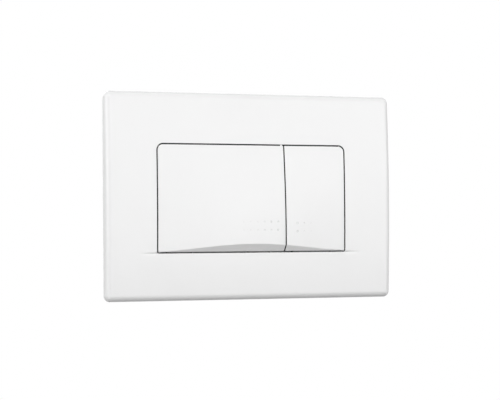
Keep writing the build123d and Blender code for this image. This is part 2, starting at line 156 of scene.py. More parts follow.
class FlushPlateDots(PropertyGroup):
    """The round dimples that mark the two buttons."""

    pitch_across: length("Pitch across", "From one column of dimples to the next", 6.0)
    pitch_up: length("Pitch up", "From one row of dimples to the next", 6.55)
    rows: IntProperty(name="Rows", description="Rows of dimples", default=2, min=1)
    diameter: length("Diameter", "Diameter of the dimples beside the divider", 1.7)
    depth: length("Depth", "Depth of the dimples beside the divider, smaller ones being shallower", 0.36)
    wall: length("Wall", "Width of the dimples' sloping wall", 0.35)
    full_columns: IntProperty(name="Full columns", description="Columns on the wide button", default=6)
    full_fade: length("Full fade", "Each further column of the wide button is this much smaller", 0.17)
    full_start: length("Full start", "From the divider to the wide button's first column", 7.2)
    full_height: length("Full height", "From the field's foot to the wide button's upper row", 24.0)
    half_columns: IntProperty(name="Half columns", description="Columns on the narrow button", default=3)
    half_fade: length("Half fade", "Each further column of the narrow button is this much smaller", 0.42)
    half_start: length("Half start", "From the divider to the narrow button's first column", 10.3)
    half_height: length("Half height", "From the field's foot to the narrow button's upper row", 22.9)


class FlushPlateWorks(PropertyGroup):
    """Sizes of the pieces behind the plate."""

    thread_pitch: length("Thread pitch", "From crest to crest of the rods' and bolts' threads", 1.0)
    thread_depth: length("Thread depth", "From crest to root of those threads", 0.5)
    spring_wire: length("Spring wire", "Diameter of the return springs' wire", 1.1)
    spring_turns: plain("Spring turns", "Turns of a return spring", 4.5)
    collar_wall: length("Collar wall", "Wall of the frame's collar", 3.0)
    collar_corner: length("Collar corner", "Radius inside the collar's corners", 8.0)
    flange_width: length("Flange width", "Width of the frame's flange on the wall", 10.0)
    floor: length("Floor", "Thickness of the frame's floor", 2.5)
    mould_edge: length("Mould edge", "Rounding of the frame's edges", 0.4)


class FlushPlateFinish(PropertyGroup):
    """Colours of the finishes."""

    gloss_white: colour("Gloss white", "Plate and buttons", (0.875, 0.875, 0.875))
    frame_grey: colour("Frame grey", "Mounting frame", (0.60, 0.62, 0.63))
    dark_grey: colour("Dark grey", "Push heads, guides, bolts and caps", (0.18, 0.195, 0.21))
    natural: colour("Natural", "Push rods and lock nuts", (0.76, 0.76, 0.71))
    stainless: colour("Stainless steel", "Hinge rod, springs and clips", (0.62, 0.61, 0.59))
    zinc: colour("Zinc plate", "Washers", (0.56, 0.58, 0.61))
    rubber: colour("Rubber", "Buffers", (0.045, 0.045, 0.045))


class FlushPlateStudio(PropertyGroup):
    """The light, the floor and the camera."""

    ambient: plain("Ambient", "Light of the white surroundings", 0.1)
    key_power: plain("Key power", "Power of the large lamp on the right", 11.0)
    left_power: plain("Left power", "Power of the lamp on the left", 32.0)
    top_power: plain("Top power", "Power of the lamp high above the front", 36.5)
    front_power: plain("Front power", "Power of the low lamp in front", 13.0)
    rear_power: plain("Rear power", "Power of the lamp behind", 45.0)
    floor_drop: length("Floor drop", "From the plate's lower edge down to the floor", 220.0)
    floor_tone: plain("Floor tone", "How pale the floor looks", 0.8)
    floor_bounce: plain("Floor bounce", "How much light the floor throws back on the object", 0.3)
    camera_turn: turn("Camera turn", "How far the camera looks towards the right", 22.82)
    camera_pitch: turn("Camera pitch", "How far the camera looks up", 1.311)
    camera_roll: turn("Camera roll", "How far the camera leans", -0.461)
    camera_place: FloatVectorProperty(
        name="Camera place",
        description="Where the camera stands",
        default=(-581.8 * MM, -1385.2 * MM, -37.35 * MM),
        subtype="TRANSLATION",
    )
    camera_lens: plain("Camera lens", "Focal length in millimetres on a 36 mm sensor", 135.24)
    camera_shift: FloatVectorProperty(
        name="Camera shift",
        description="Small shift of the picture",
        default=(-0.001, 0.0008),
        size=2,
        precision=4,
    )


# Mesh building


class Sheet:
    """Collects points and faces for one mesh."""

    def __init__(self):
        self.blocks = []
        self.faces = []
        self.count = 0

    def add(self, points):
        """Add points in any grid and give back their numbers in the same grid."""
        points = np.asarray(points, dtype=float)
        numbers = self.count + np.arange(points.size // 3).reshape(points.shape[:-1])
        self.blocks.append(points.reshape(-1, 3))
        self.count += points.size // 3
        return numbers

    def strip(self, one, other, closed=True):
        """Join two rows of points by quads."""
        ahead_one, ahead_other = np.roll(one, -1), np.roll(other, -1)
        quads = np.stack([one, ahead_one, ahead_other, other], axis=-1)
        self.faces += (quads if closed else quads[:-1]).tolist()

    def skin(self, grid):
        """Join a grid of points by quads."""
        for low, high in zip(grid[:-1], grid[1:]):
            self.strip(low, high, closed=False)

    def cap(self, row):
        """Close a row of points by one face."""
        self.faces.append(row.tolist())

    def tube(self, rows, closed_end_to_end=False):
        """Join rows of points to a tube, either capped or closed on itself."""
        for one, other in zip(rows[:-1], rows[1:]):
            self.strip(one, other)
        if closed_end_to_end:
            self.strip(rows[-1], rows[0])
        else:
            self.cap(rows[0])
            self.cap(rows[-1])

    def solid(self, name):
        """A mesh object whose faces look outwards."""
        mesh = bpy.data.meshes.new(name)
        mesh.from_pydata(np.concatenate(self.blocks).tolist(), [], self.faces)
        work = bmesh.new()
        work.from_mesh(mesh)
        bmesh.ops.recalc_face_normals(work, faces=work.faces)
        work.to_mesh(mesh)
        work.free()
        piece = bpy.data.objects.new(name, mesh)
        bpy.context.scene.collection.objects.link(piece)
        return piece


def combine(piece, tool, operation):
    """Unite a piece with a tool body, or cut the tool out of it, and drop the tool."""
    cutter = piece.modifiers.new("combine", "BOOLEAN")
    cutter.object = tool
    cutter.operation = operation
    cutter.solver = "EXACT"
    graph = bpy.context.evaluated_depsgraph_get()
    mesh = bpy.data.meshes.new_from_object(piece.evaluated_get(graph))
    if not mesh.polygons:
        raise RuntimeError(piece.name + " came out empty")
    piece.modifiers.clear()
    old = piece.data
    piece.data = mesh
    bpy.data.meshes.remove(old)
    bpy.data.objects.remove(tool)


def dress(piece, node, finish, body="base"):
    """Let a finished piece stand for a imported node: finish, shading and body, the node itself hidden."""
    mesh = piece.data
    mesh.name = piece.name
    mesh.materials.clear()
    mesh.materials.append(kept(finish))
    mesh.shade_smooth()
    mesh.set_sharp_from_angle(angle=SMOOTH_ANGLE)
    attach(piece, body)
    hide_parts(node)


def arc(centre, radius, start, end, count):
    """Points on an arc, angles in degrees, and the directions out of its centre."""
    angles = np.radians(np.linspace(start, end, count))
    out = np.column_stack([np.cos(angles), np.sin(angles)])
    return np.asarray(centre) + radius * out, out


def run(start, end, out, count):
    """Points on a straight line, all with one outward direction."""
    return np.linspace(start, end, count), np.tile(np.asarray(out, dtype=float), (count, 1))


def chain(*stretches):
    """Stretches joined end to end, the shared points kept once."""
    points = [stretches[0][0]] + [stretch[0][1:] for stretch in stretches[1:]]
    outs = [stretches[0][1]] + [stretch[1][1:] for stretch in stretches[1:]]
    return np.concatenate(points), np.concatenate(outs)


def rounded_rectangle(low, high, radius, along, round_count):
    """A closed path round a rectangle with round corners, with its outward directions."""
    x0, z0 = low
    x1, z1 = high
    path = chain(
        run((x0 + radius, z0), (x1 - radius, z0), (0, -1), along),
        arc((x1 - radius, z0 + radius), radius, -90, 0, round_count),
        run((x1, z0 + radius), (x1, z1 - radius), (1, 0), along),
        arc((x1 - radius, z1 - radius), radius, 0, 90, round_count),
        run((x1 - radius, z1), (x0 + radius, z1), (0, 1), along),
        arc((x0 + radius, z1 - radius), radius, 90, 180, round_count),
        run((x0, z1 - radius), (x0, z0 + radius), (-1, 0), along),
        arc((x0 + radius, z0 + radius), radius, 180, 270, round_count),
    )
    return path[0][:-1], path[1][:-1]


def outward(outline):
    """Directions that move each point of a closed outline out by the same distance."""
    before = outline - np.roll(outline, 1, axis=0)
    after = np.roll(outline, -1, axis=0) - outline
    sides = [np.column_stack([edge[:, 1], -edge[:, 0]]) for edge in (before, after)]
    sides = [side / np.linalg.norm(side, axis=1, keepdims=True) for side in sides]
    mean = sides[0] + sides[1]
    least = 0.3  # keeps a sharp corner from running far out
    mean /= np.maximum(np.sum(mean * sides[0], axis=1, keepdims=True), least)
    ahead = np.roll(outline, -1, axis=0)
    area = np.sum(outline[:, 0] * ahead[:, 1] - ahead[:, 0] * outline[:, 1])
    return mean if area > 0 else -mean


def along_y(points, depth):
    """Points drawn in X and Z, put at a depth."""
    return np.column_stack([points[:, 0], np.broadcast_to(depth, len(points)), points[:, 1]])


def along_x(points, place):
    """Points drawn in Y and Z, put at a place on X."""
    return np.column_stack([np.full(len(points), place), points[:, 0], points[:, 1]])


def prism(sheet, outline, start, end, edge, put=along_y):
    """Add a solid with a given outline, its two ends softened by a small round edge."""
    outline = np.asarray(outline, dtype=float)
    out = outward(outline)
    rows = []
    for depth, inset in edge_rows(start, end, edge):
        rows.append(sheet.add(put(outline - out * inset, depth)))
    sheet.tube(rows)


def edge_rows(start, end, edge):
    """Depths and insets of a bar whose two ends have a round edge."""
    steps = [(edge * (1 - sin(a)), edge * (1 - cos(a))) for a in QUARTER]
    first = [(start + deep, inset) for inset, deep in steps]
    last = [(end - deep, inset) for inset, deep in reversed(steps)]
    return first + last


def block(sheet, x0, x1, y0, y1, z0, z1, edge):
    """Add a block with softened edges."""
    outline = [(y0, z0), (y1, z0), (y1, z1), (y0, z1)]
    prism(sheet, soften(outline, 3 * edge), x0, x1, edge, along_x)


def soften(outline, cut, steps=4):
    """A closed outline whose corners are rounded off by a small curve."""
    outline = np.asarray(outline, dtype=float)
    most = 0.45  # of a side that one corner may take up
    points = []
    for before, corner, after in zip(np.roll(outline, 1, axis=0), outline, np.roll(outline, -1, axis=0)):
        to_before, to_after = before - corner, after - corner
        near = min(cut, most * np.linalg.norm(to_before), most * np.linalg.norm(to_after))
        one = corner + near * to_before / np.linalg.norm(to_before)
        other = corner + near * to_after / np.linalg.norm(to_after)
        for t in np.linspace(0, 1, steps):
            points.append((1 - t) ** 2 * one + 2 * t * (1 - t) * corner + t**2 * other)
    return np.array(points)


def circle_steps(segments):
    """Angles round a circle, and the directions out of its centre."""
    angles = np.linspace(0, 2 * pi, segments, endpoint=False)
    return angles, np.column_stack([np.cos(angles), np.sin(angles)])


def lathe(sheet, profile, x, z, segments=64):
    """Turn a closed profile of radii and depths about an axis that runs into the wall."""
    circle = circle_steps(segments)[1]
    rows = [sheet.add(along_y(np.array([x, z]) + radius * circle, depth)) for radius, depth in profile]
    sheet.tube(rows, closed_end_to_end=True)


def lathe_across(sheet, profile, y, z, segments=48):
    """Turn a profile of radii and places about an axis along X, with closed ends."""
    circle = circle_steps(segments)[1]
    rows = [sheet.add(along_x(np.array([y, z]) + radius * circle, place)) for radius, place in profile]
    sheet.tube(rows)


# The form of the front

SOFT_TOP = 0.05  # share of the field's height over which the bulge sets in beside the buttons
LEAST_SOFT = 0.001 * MM
CREASE_DROP = 0.35  # of the gap, from the field's foot down to the crease's deepest line
CREASE_ONSET = 10  # the crease starts within a tenth of the bulge's tail
LIP_ROUNDS = 8  # of the search for the lip's edge


def field_top(form):
    """Height of the buttons' top line."""
    return PLATE_HIGH.z - form.top_margin


def field_foot(form):
    """Height of the buttons' lower line."""
    return PLATE_LOW.z + form.bottom_margin


def plain_y(form, z):
    """The plate's crowned front."""
    radius = (PLATE_HIGH.z**2 + form.crown**2) / (2 * form.crown)
    return radius - form.edge_depth - form.crown - np.sqrt(radius**2 - np.square(z))


def bulge_share(form, x):
    """How much of the bulge is left at a place across, from one in the middle to none at its tails."""
    reach = FIELD_HALF + form.bulge_tail
    return np.cos(pi / 2 * np.clip(np.abs(x) / reach, 0, 1)) ** 2


def bulging_y(form, x, z, soft_top=0.0):
    """The bulging front that the buttons share and that runs out into the plate."""
    down = (field_top(form) - z) / (field_top(form) - field_foot(form))
    down = (down + np.sqrt(down**2 + soft_top**2)) / 2 if soft_top else down
    return plain_y(form, z) - form.bulge * bulge_share(form, x) * np.sin(pi / 2 * np.minimum(down, 1))


def lip_y(form, z):
    """The sloping under-side of the lip."""
    foot = field_foot(form)
    return plain_y(form, foot) + form.lip_sink - tan(form.lip_slope) * (z - foot)


def soft_max(one, other, width):
    """The larger of two values, with a smooth change between them."""
    return np.maximum(one, other) + np.maximum(width - np.abs(one - other), 0) ** 2 / (4 * width)


def crease_y(form, x, z):
    """The fine line beside the buttons' foot, which fades out with the bulge."""
    beside = (np.abs(x) - FIELD_HALF) / form.bulge_tail
    across = z - field_foot(form) + CREASE_DROP * FIELD_GAP
    side = np.where(across > 0, form.crease_rise, form.crease_fall)
    fade = np.minimum(np.clip(0.5 + CREASE_ONSET * beside, 0, 1), np.clip(1 - beside, 0, 1))
    return form.crease * fade * np.clip(1 - np.abs(across) / side, 0, 1)


def plate_y(form, x, z):
    """The plate's front with the tails of the bulge beside the buttons."""
    level = plain_y(form, z)
    bulged = bulging_y(form, x, z, soft_top=SOFT_TOP)
    width = form.lip_soft * bulge_share(form, x) / bulge_share(form, FIELD_HALF) + LEAST_SOFT
    return soft_max(bulged, np.minimum(level, lip_y(form, z)), width) + crease_y(form, x, z)


def button_y(form, x, z):
    """A button's front with its lip."""
    return soft_max(bulging_y(form, x, z), lip_y(form, z), form.lip_soft)


def return_back(form):
    """The depth of the rim behind the opening."""
    return float(plain_y(form, 0)) + form.wall + form.return_depth


def lip_edge(form, x):
    """Height of the lip's edge at a place across."""
    foot = field_foot(form)
    z = np.full(np.shape(x), foot)
    for _ in range(LIP_ROUNDS):
        z = foot + (lip_y(form, foot) - bulging_y(form, x, z)) / tan(form.lip_slope)
    return z


# Cover plate

CREASE_ANGLE = 250  # on the opening's lower corner, from where the stations run level along the crease
CREASE_STEPS = 22
CORNER_STEPS = 16
FAN_STEPS = 10
LEVEL_STEPS = 24
SIDE_STEPS = 38
FRONT_SHARES = (0, 0.006, 0.018, 0.04, 0.07, *np.linspace(0.1, 0.9, 25), 0.94, 0.97, 0.99, 1)


def plate_path(form):
    """Stations round the plate: points and outward directions of the opening and of the outer edge."""
    half = FIELD_HALF + FIELD_GAP / 2
    top = field_top(form) + FIELD_GAP / 2
    foot = field_foot(form) - FIELD_GAP / 2
    top_round = form.top_corner + FIELD_GAP / 2
    foot_round = form.foot_corner + FIELD_GAP / 2
    wide, high, corner = PLATE_HIGH.x, PLATE_HIGH.z, form.corner
    foot_x, foot_z = foot_round - half, foot + foot_round
    top_x, top_z = top_round - half, top - top_round

    def level(stretch):
        points = np.column_stack([np.full(len(stretch[0]), -wide), stretch[0][:, 1]])
        return points, np.tile((-1.0, 0.0), (len(points), 1))

    lower = arc((foot_x, foot_z), foot_round, CREASE_ANGLE, 180, CREASE_STEPS)
    climb = np.linspace(0, 1, SIDE_STEPS) ** 2
    side = np.column_stack([np.full(len(climb), -half), foot_z + climb * (top_z - foot_z)])
    side = (side, np.tile((-1.0, 0.0), (len(side), 1)))
    low_fan = chain(
        run((foot_x, -high), (corner - wide, -high), (0, -1), FAN_STEPS),
        arc((corner - wide, corner - high), corner, 270, 180, CORNER_STEPS),
        run((-wide, corner - high), (-wide, lower[0][0][1]), (-1, 0), FAN_STEPS),
    )
    high_fan = chain(
        run((-wide, top_z), (-wide, high - corner), (-1, 0), FAN_STEPS),
        arc((corner - wide, high - corner), corner, 180, 90, CORNER_STEPS),
        run((corner - wide, high), (top_x, high), (0, 1), FAN_STEPS),
    )
    opening = chain(
        run((0, foot), (foot_x, foot), (0, -1), LEVEL_STEPS),
        arc((foot_x, foot_z), foot_round, 270, CREASE_ANGLE, len(low_fan[0])),
        lower,
        side,
        arc((top_x, top_z), top_round, 180, 90, len(high_fan[0])),
        run((top_x, top), (0, top), (0, 1), LEVEL_STEPS),
    )
    outer = chain(
        run((0, -high), (foot_x, -high), (0, -1), LEVEL_STEPS),
        low_fan,
        level(lower),
        level(side),
        high_fan,
        run((top_x, high), (0, high), (0, 1), LEVEL_STEPS),
    )
    flip = np.array([-1.0, 1.0])
    return [np.concatenate([left, left[-2:0:-1] * flip]) for left in (*opening, *outer)]


def plate_shell(form):
    """The plate's shell: rows from the opening's wall over the front and round the edge to the inside."""
    opening, opening_out, outer, outer_out = plate_path(form)
    sheet = Sheet()
    rows = []

    def row(points, depth):
        rows.append(sheet.add(along_y(points, depth)))

    small, large, rim = form.edge_break, form.edge_round, FINE_EDGE
    soft_rim = ((0, rim), (0.3 * rim, 0.3 * rim), (rim, 0))  # inset and setback of a rim's three rows
    for a in np.radians(np.linspace(0, 90, 5))[:-1]:
        points = opening + opening_out * small * (1 - cos(a))
        row(points, plate_y(form, *points.T) + small * (1 - sin(a)))
    near = opening + opening_out * small
    far = outer - outer_out * large
    for share in FRONT_SHARES:
        points = near + (far - near) * share
        row(points, plate_y(form, *points.T))
    for a in np.radians(np.linspace(0, 90, 13))[1:]:
        points = outer - outer_out * large * (1 - sin(a))
        row(points, plain_y(form, points[:, 1]) + large * (1 - cos(a)))
    for inset, setback in soft_rim:
        row(outer - outer_out * inset, -setback)
    for inset, setback in reversed(soft_rim):
        row(outer - outer_out * (form.wall - inset), -setback)
    points = outer - outer_out * form.wall
    row(points, plain_y(form, points[:, 1]) + form.wall + form.inside_bevel)
    inside = outer - outer_out * (form.wall + form.inside_bevel)
    rim_side = opening + opening_out * form.return_wall
    for share in np.linspace(0, 1, 13):
        points = inside + (rim_side - inside) * share
        row(points, plain_y(form, points[:, 1]) + form.wall)
    for inset, setback in soft_rim:
        row(rim_side - opening_out * inset, return_back(form) - setback)
    for inset, setback in reversed(soft_rim):
        row(opening + opening_out * inset, return_back(form) - setback)
    sheet.tube(rows, closed_end_to_end=True)
    return sheet.solid("cover_plate_moulding")


EAR_RADIUS = 3.2 * MM
EAR_THICKNESS = 4.0 * MM
EAR_INSET = 1.0 * MM
EAR_PLACES = (EAR_INSET - FIELD_HALF, FULL_X, DIVIDER_X, FIELD_HALF - EAR_INSET)
HOOK_SPACING = 120.0 * MM
HOOK_WIDTH = 10.0 * MM
HOOK_THICKNESS = 2.0 * MM
HOOK_REACH = 8.0 * MM
BARB_LENGTH = 3.0 * MM
BARB_HEIGHT = 1.6 * MM
HOOK_PLACES = (-HOOK_SPACING / 2, HOOK_SPACING / 2)
SEAT_RIB_HALF = 0.8 * MM
SEAT_RIB_REACH = 7.0 * MM
COLLAR_INSET = Vector((24.0 * MM, 0, 26.0 * MM))
COLLAR = PLATE_HIGH - COLLAR_INSET
LUG_RADIUS = 2.6 * MM
LUG_THICKNESS = 4.0 * MM
LUG_LEAN = 1.8 * MM
LUG_DROP = 4.0 * MM


def lug_places(which):
    """Middles of a button's two lugs, each beside an ear."""
    beside = (EAR_THICKNESS + LUG_THICKNESS) / 2 + SIDE_CLEARANCE
    ears = EAR_PLACES[0::2] if which == "full" else EAR_PLACES[2:]
    return ears[0] + beside, ears[1] - beside


def ear_outline(form):
    """Outline in Y and Z of an ear that carries the hinge rod."""
    root = plain_y(form, HINGE.z) + form.wall / 2
    eye = arc((HINGE.y, HINGE.z), EAR_RADIUS, -90, 90, 24)[0]
    return np.concatenate([[(root, HINGE.z - EAR_RADIUS)], eye, [(root, HINGE.z + EAR_RADIUS)]])


def hook_outline(form, side):
    """Outline in Y and Z of a snap hook with its barb."""
    outer = COLLAR.z - SIDE_CLEARANCE
    root = plain_y(form, outer) + form.wall / 2
    inner = outer - HOOK_THICKNESS
    barb = HOOK_REACH - BARB_LENGTH
    points = [(root, inner), (root, outer), (barb, outer), (barb, outer + BARB_HEIGHT)]
    points += [(HOOK_REACH, outer), (HOOK_REACH, inner)]
    return soften([(y, side * z) for y, z in points], 3 * FINE_EDGE)


def slab(sheet, outline, x, width):
    """Add an outline in Y and Z as a solid of some width about a place on X."""
    prism(sheet, outline, x - width / 2, x + width / 2, FINE_EDGE, along_x)


def plate_fittings(form):
    """What stands behind the plate: hinge ears, snap hooks and seat ribs."""
    sheet = Sheet()
    for x in EAR_PLACES:
        slab(sheet, ear_outline(form), x, EAR_THICKNESS)
    for side in (-1, 1):
        for x in HOOK_PLACES:
            slab(sheet, hook_outline(form, side), x, HOOK_WIDTH)
    thin, long, edge = SEAT_RIB_HALF, SEAT_RIB_REACH, FINE_EDGE
    flange_middle = 8.0 * MM  # from the collar's inside to the middle of the flange
    across, up = COLLAR.x + flange_middle, COLLAR.z + flange_middle
    seat = FRAME_LOW.y
    for side in (-1, 1):
        front = float(plain_y(form, long)) + form.wall / 2
        block(sheet, side * across - thin, side * across + thin, front, seat, -long, long, edge)
        front = float(plain_y(form, up)) + form.wall / 2
        for x in (-HOOK_SPACING / 2, 0, HOOK_SPACING / 2):
            block(sheet, x - long, x + long, front, seat, side * up - thin, side * up + thin, edge)
    return sheet.solid("plate_fittings")


def lug_notches(form):
    """Cutting blocks that leave room in the opening's rim for the buttons' lugs."""
    sheet = Sheet()
    half = LUG_THICKNESS / 2 + 0.9 * SIDE_CLEARANCE  # stays clear of the ears
    small = 0.1 * MM  # the notches' edge, and their distance behind the plate's wall
    low = field_top(form)
    high = low + FIELD_GAP + form.return_wall
    front = float(plain_y(form, low)) + form.wall + small
    for which in SIDES:
        for x in lug_places(which):
            block(sheet, x - half, x + half, front, HINGE.y, low, high, small)
    return sheet.solid("lug_notches")


def rod_hole(clearance):
    """A bar along the hinge that cuts the holes for its rod."""
    sheet = Sheet()
    radius = half_size("hinge_rod", "z") + clearance
    reach = FIELD_HALF + 20 * MM  # well past the rod's ends
    lathe_across(sheet, [(radius, -reach), (radius, reach)], HINGE.y, HINGE.z)
    return sheet.solid("rod_hole")


def make_cover_plate(form, finish):
    """The moulded cover plate."""
    piece = plate_shell(form)
    combine(piece, lug_notches(form), "DIFFERENCE")
    combine(piece, plate_fittings(form), "UNION")
    combine(piece, rod_hole(HOLD_CLEARANCE), "DIFFERENCE")
    dress(piece, "cover_plate", finish)


# Buttons

FINE_STEP = 0.1 * MM  # between the points in and round a dimple
WIDE_STEP_UP = 3 * MM
WIDE_STEP_ACROSS = 2.5 * MM
LEVEL_ROWS = 11 * MM  # from the field's foot to where the rows run level
UNDER_LIP_SHARES = (0.25, 0.5, 0.75)
LIP_SHARES = (-1, -0.6, -0.3, 0, 0.3, 0.6, 1)
OVER_LIP_SHARES = (0.05, 0.14, 0.28, 0.5, 0.75)


def dot_places(form, dots, which):
    """Middle and radius of each dimple of a button."""
    full = which == "full"
    columns = dots.full_columns if full else dots.half_columns
    fade = dots.full_fade if full else dots.half_fade
    start = -dots.full_start if full else dots.half_start
    step = -dots.pitch_across if full else dots.pitch_across
    height = field_foot(form) + (dots.full_height if full else dots.half_height)
    places = []
    for column in range(columns):
        for row in range(dots.rows):
            radius = (dots.diameter - column * fade) / 2
            places.append((DIVIDER_X + start + column * step, height - row * dots.pitch_up, radius))
    return places


def dimple_y(dots, places, x, z):
    """How far the dimples lie behind the button's front."""
    depth = np.zeros(np.shape(x))
    for centre_x, centre_z, radius in places:
        inside = (radius - np.hypot(x - centre_x, z - centre_z)) / dots.wall + 0.5
        inside = np.clip(inside, 0, 1)
        deepest = dots.depth * 2 * radius / dots.diameter
        depth = np.maximum(depth, deepest * inside**2 * (3 - 2 * inside))
    return depth


def with_close_steps(low, high, wide_step, fine_step, spots):
    """Rising values from one limit to another, close together at the given spots."""
    values = list(np.linspace(low, high, max(2, round((high - low) / wide_step) + 1)))
    for centre, reach in spots:
        values = [v for v in values if abs(v - centre) > reach + fine_step]
        count = 2 * round(reach / fine_step) + 1
        values += list(np.linspace(centre - reach, centre + reach, count))
    return np.array(sorted(values))


class ButtonOutline:
    """A button's outline at some inset, with a radius for each corner."""

    def __init__(self, form, which, inset):
        gap = FIELD_GAP / 2
        low, high = (FULL_LOW, FULL_HIGH) if which == "full" else (HALF_LOW, HALF_HIGH)
        self.x0, self.x1 = low.x + inset, high.x - inset
        self.z0, self.z1 = field_foot(form) + gap + inset, field_top(form) - gap - inset
        small = form.button_corner - inset if inset < form.button_corner else form.button_corner
        large = max(form.top_corner - gap - inset, small)
        self.foot = small
        self.top_left, self.top_right = (large, small) if which == "full" else (small, large)

    def side(self, z, left):
        """X of a side at each height, and its outward direction there."""
        top = self.top_left if left else self.top_right
        z = np.asarray(z, dtype=float)
        over = np.clip(z - (self.z1 - top), 0, top)
        under = np.clip(self.z0 + self.foot - z, 0, self.foot)
        rise = over / top - under / self.foot
        run_in = top - np.sqrt(top**2 - over**2) + self.foot - np.sqrt(self.foot**2 - under**2)
        level = np.sqrt(1 - rise**2)
        if left:
            return self.x0 + run_in, np.column_stack([-level, rise])
        return self.x1 - run_in, np.column_stack([level, rise])


def button_rows(form, outline, shares, dots, places):
    """Heights of a button's rows at each share of its width: level rows above, lip rows below."""
    x = outline.x0 + shares * (outline.x1 - outline.x0)
    corner = outline.foot * (1 - np.cos(QUARTER))
    rows = [np.full(len(x), outline.z0 + rise) for rise in corner]
    start = outline.z0 + outline.foot
    edge = lip_edge(form, x)
    soft = np.minimum(form.lip_soft / tan(form.lip_slope), 0.8 * (edge - start))
    rows += [start + share * (edge - soft - start) for share in UNDER_LIP_SHARES]
    rows += [edge + soft * share for share in LIP_SHARES]
    level = field_foot(form) + LEVEL_ROWS
    rows += [edge + soft + share * (level - edge - soft) for share in OVER_LIP_SHARES]
    round_top = max(outline.top_left, outline.top_right)
    spots = [(z, radius + dots.wall) for z, radius in {(p[1], places[0][2]) for p in places}]
    steps = with_close_steps(level, outline.z1 - round_top, WIDE_STEP_UP, FINE_STEP, spots)
    heights = [outline.z1 - round_top * (1 - cos(a)) for a in np.radians(np.linspace(0, 90, 10))[:-1]]
    small = min(outline.top_left, outline.top_right)
    heights += [outline.z1 - small * (1 - cos(a)) for a in QUARTER[1:]]
    rows += [np.full(len(x), z) for z in np.concatenate([steps, np.unique(heights)])]
    return np.array(rows)


def border(grid):
    """The points round a grid: up the left side, along the top, down the right side and back."""
    return np.concatenate([grid[:, 0], grid[-1, 1:], grid[-2::-1, -1], grid[0, -2:0:-1]])


def button_shell(form, dots, which):
    """A button's shell: fine front with its dimples, soft edges, skirts and a hollow back."""
    places = dot_places(form, dots, which)
    small = form.edge_break
    front = ButtonOutline(form, which, small)
    width = front.x1 - front.x0
    spots = [(x, radius + dots.wall) for x, radius in {(p[0], p[2]) for p in places}]
    columns = with_close_steps(front.x0, front.x1, WIDE_STEP_ACROSS, FINE_STEP, spots)
    shares = (columns - front.x0) / width
    rows = button_rows(form, front, shares, dots, places)
    left, left_out = front.side(rows[:, 0], True)
    right, right_out = front.side(rows[:, -1], False)
    x = left[:, None] + shares * (right - left)[:, None]
    y = button_y(form, x, rows) + dimple_y(dots, places, x, rows)
    sheet = Sheet()
    face = sheet.add(np.stack([x, y, rows], axis=-1))
    sheet.skin(face)
    outs = np.zeros(x.shape + (2,))
    outs[0] = (0, -1)
    outs[-1] = (0, 1)
    outs[:, 0] = left_out
    outs[:, -1] = right_out
    rim = np.column_stack([border(x), border(rows)])
    out = border(outs)
    loops = [border(face)]
    for a in np.radians([22.5, 45, 67.5, 90]):
        points = rim + out * small * sin(a)
        loops.append(sheet.add(along_y(points, button_y(form, *points.T) + small * (1 - cos(a)))))
    back = HINGE.y - form.button_back
    inner = ButtonOutline(form, which, form.button_wall)
    inner_z = inner.z0 + (rows - front.z0) / (front.z1 - front.z0) * (inner.z1 - inner.z0)
    inner_left = inner.side(inner_z[:, 0], True)[0]
    inner_right = inner.side(inner_z[:, -1], False)[0]
    inner_x = inner_left[:, None] + shares * (inner_right - inner_left)[:, None]
    outside = rim + out * small
    inside = np.column_stack([border(inner_x), border(inner_z)])
    soft_back = ((0, 1), (0.03, 0.3), (0.1, 0), (0.9, 0), (0.97, 0.3), (1, 1))  # shares of skirt and edge
    for share, deep in soft_back:
        loops.append(sheet.add(along_y(outside + (inside - outside) * share, back - deep * FINE_EDGE)))
    thick = form.button_wall
    slanted = lip_y(form, inner_z) + thick / cos(form.lip_slope)
    inner_y = soft_max(bulging_y(form, inner_x, inner_z) + thick, slanted, 2 * form.lip_soft)
    hollow = sheet.add(np.stack([inner_x, inner_y, inner_z], axis=-1))
    sheet.skin(hollow)
    loops.append(border(hollow))
    for one, other in zip(loops[:-1], loops[1:]):
        sheet.strip(one, other)
    return sheet.solid(which + "_flush_button_moulding")


TONGUE_WIDTH = 20.0 * MM
TONGUE_THICKNESS = 1.6 * MM
TONGUE_INSET = 10.0 * MM
TONGUE_REACH = 3.6 * MM
PUSHER_WIDTH = 10.0 * MM
PUSHER_NOSE = 3.0 * MM
RIB_THICKNESS = 1.4 * MM
RIB_CLEAR = 1.5 * MM


def lug_outline(form):
    """Outline in Y and Z of a lug on the hinge rod."""
    root = np.array([HINGE.y - LUG_LEAN, field_top(form) - LUG_DROP])
    eye = np.array([HINGE.y, HINGE.z])
    lean = np.degrees(np.arctan2(eye[1] - root[1], eye[0] - root[0]))
    round_eye = arc(eye, LUG_RADIUS, lean - 90, lean + 90, 20)[0]
    round_root = arc(root, LUG_RADIUS, lean + 90, lean + 270, 12)[0]
    return np.concatenate([round_eye, round_root])


def pusher_outline(form, x, z):
    """Outline in Y and Z of the rib with a round nose that presses on the push head."""
    root = float(bulging_y(form, x, z)) + form.button_wall / 2
    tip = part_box("full_push_head")[0].y - SIDE_CLEARANCE
    nose = arc((tip - PUSHER_NOSE, z), PUSHER_NOSE, -90, 90, 24)[0]
    return np.concatenate([[(root, z - PUSHER_NOSE)], nose, [(root, z + PUSHER_NOSE)]])


def rib_outline(form, x, low, high):
    """Outline in Y and Z of a stiffening rib, its front buried in the button's wall."""
    z = np.linspace(low, high, 24)
    front = button_y(form, x, z) + form.button_wall / 2
    back = HINGE.y - form.button_back - RIB_CLEAR
    return np.concatenate([np.column_stack([front, z]), [(back, high), (back, low)]])


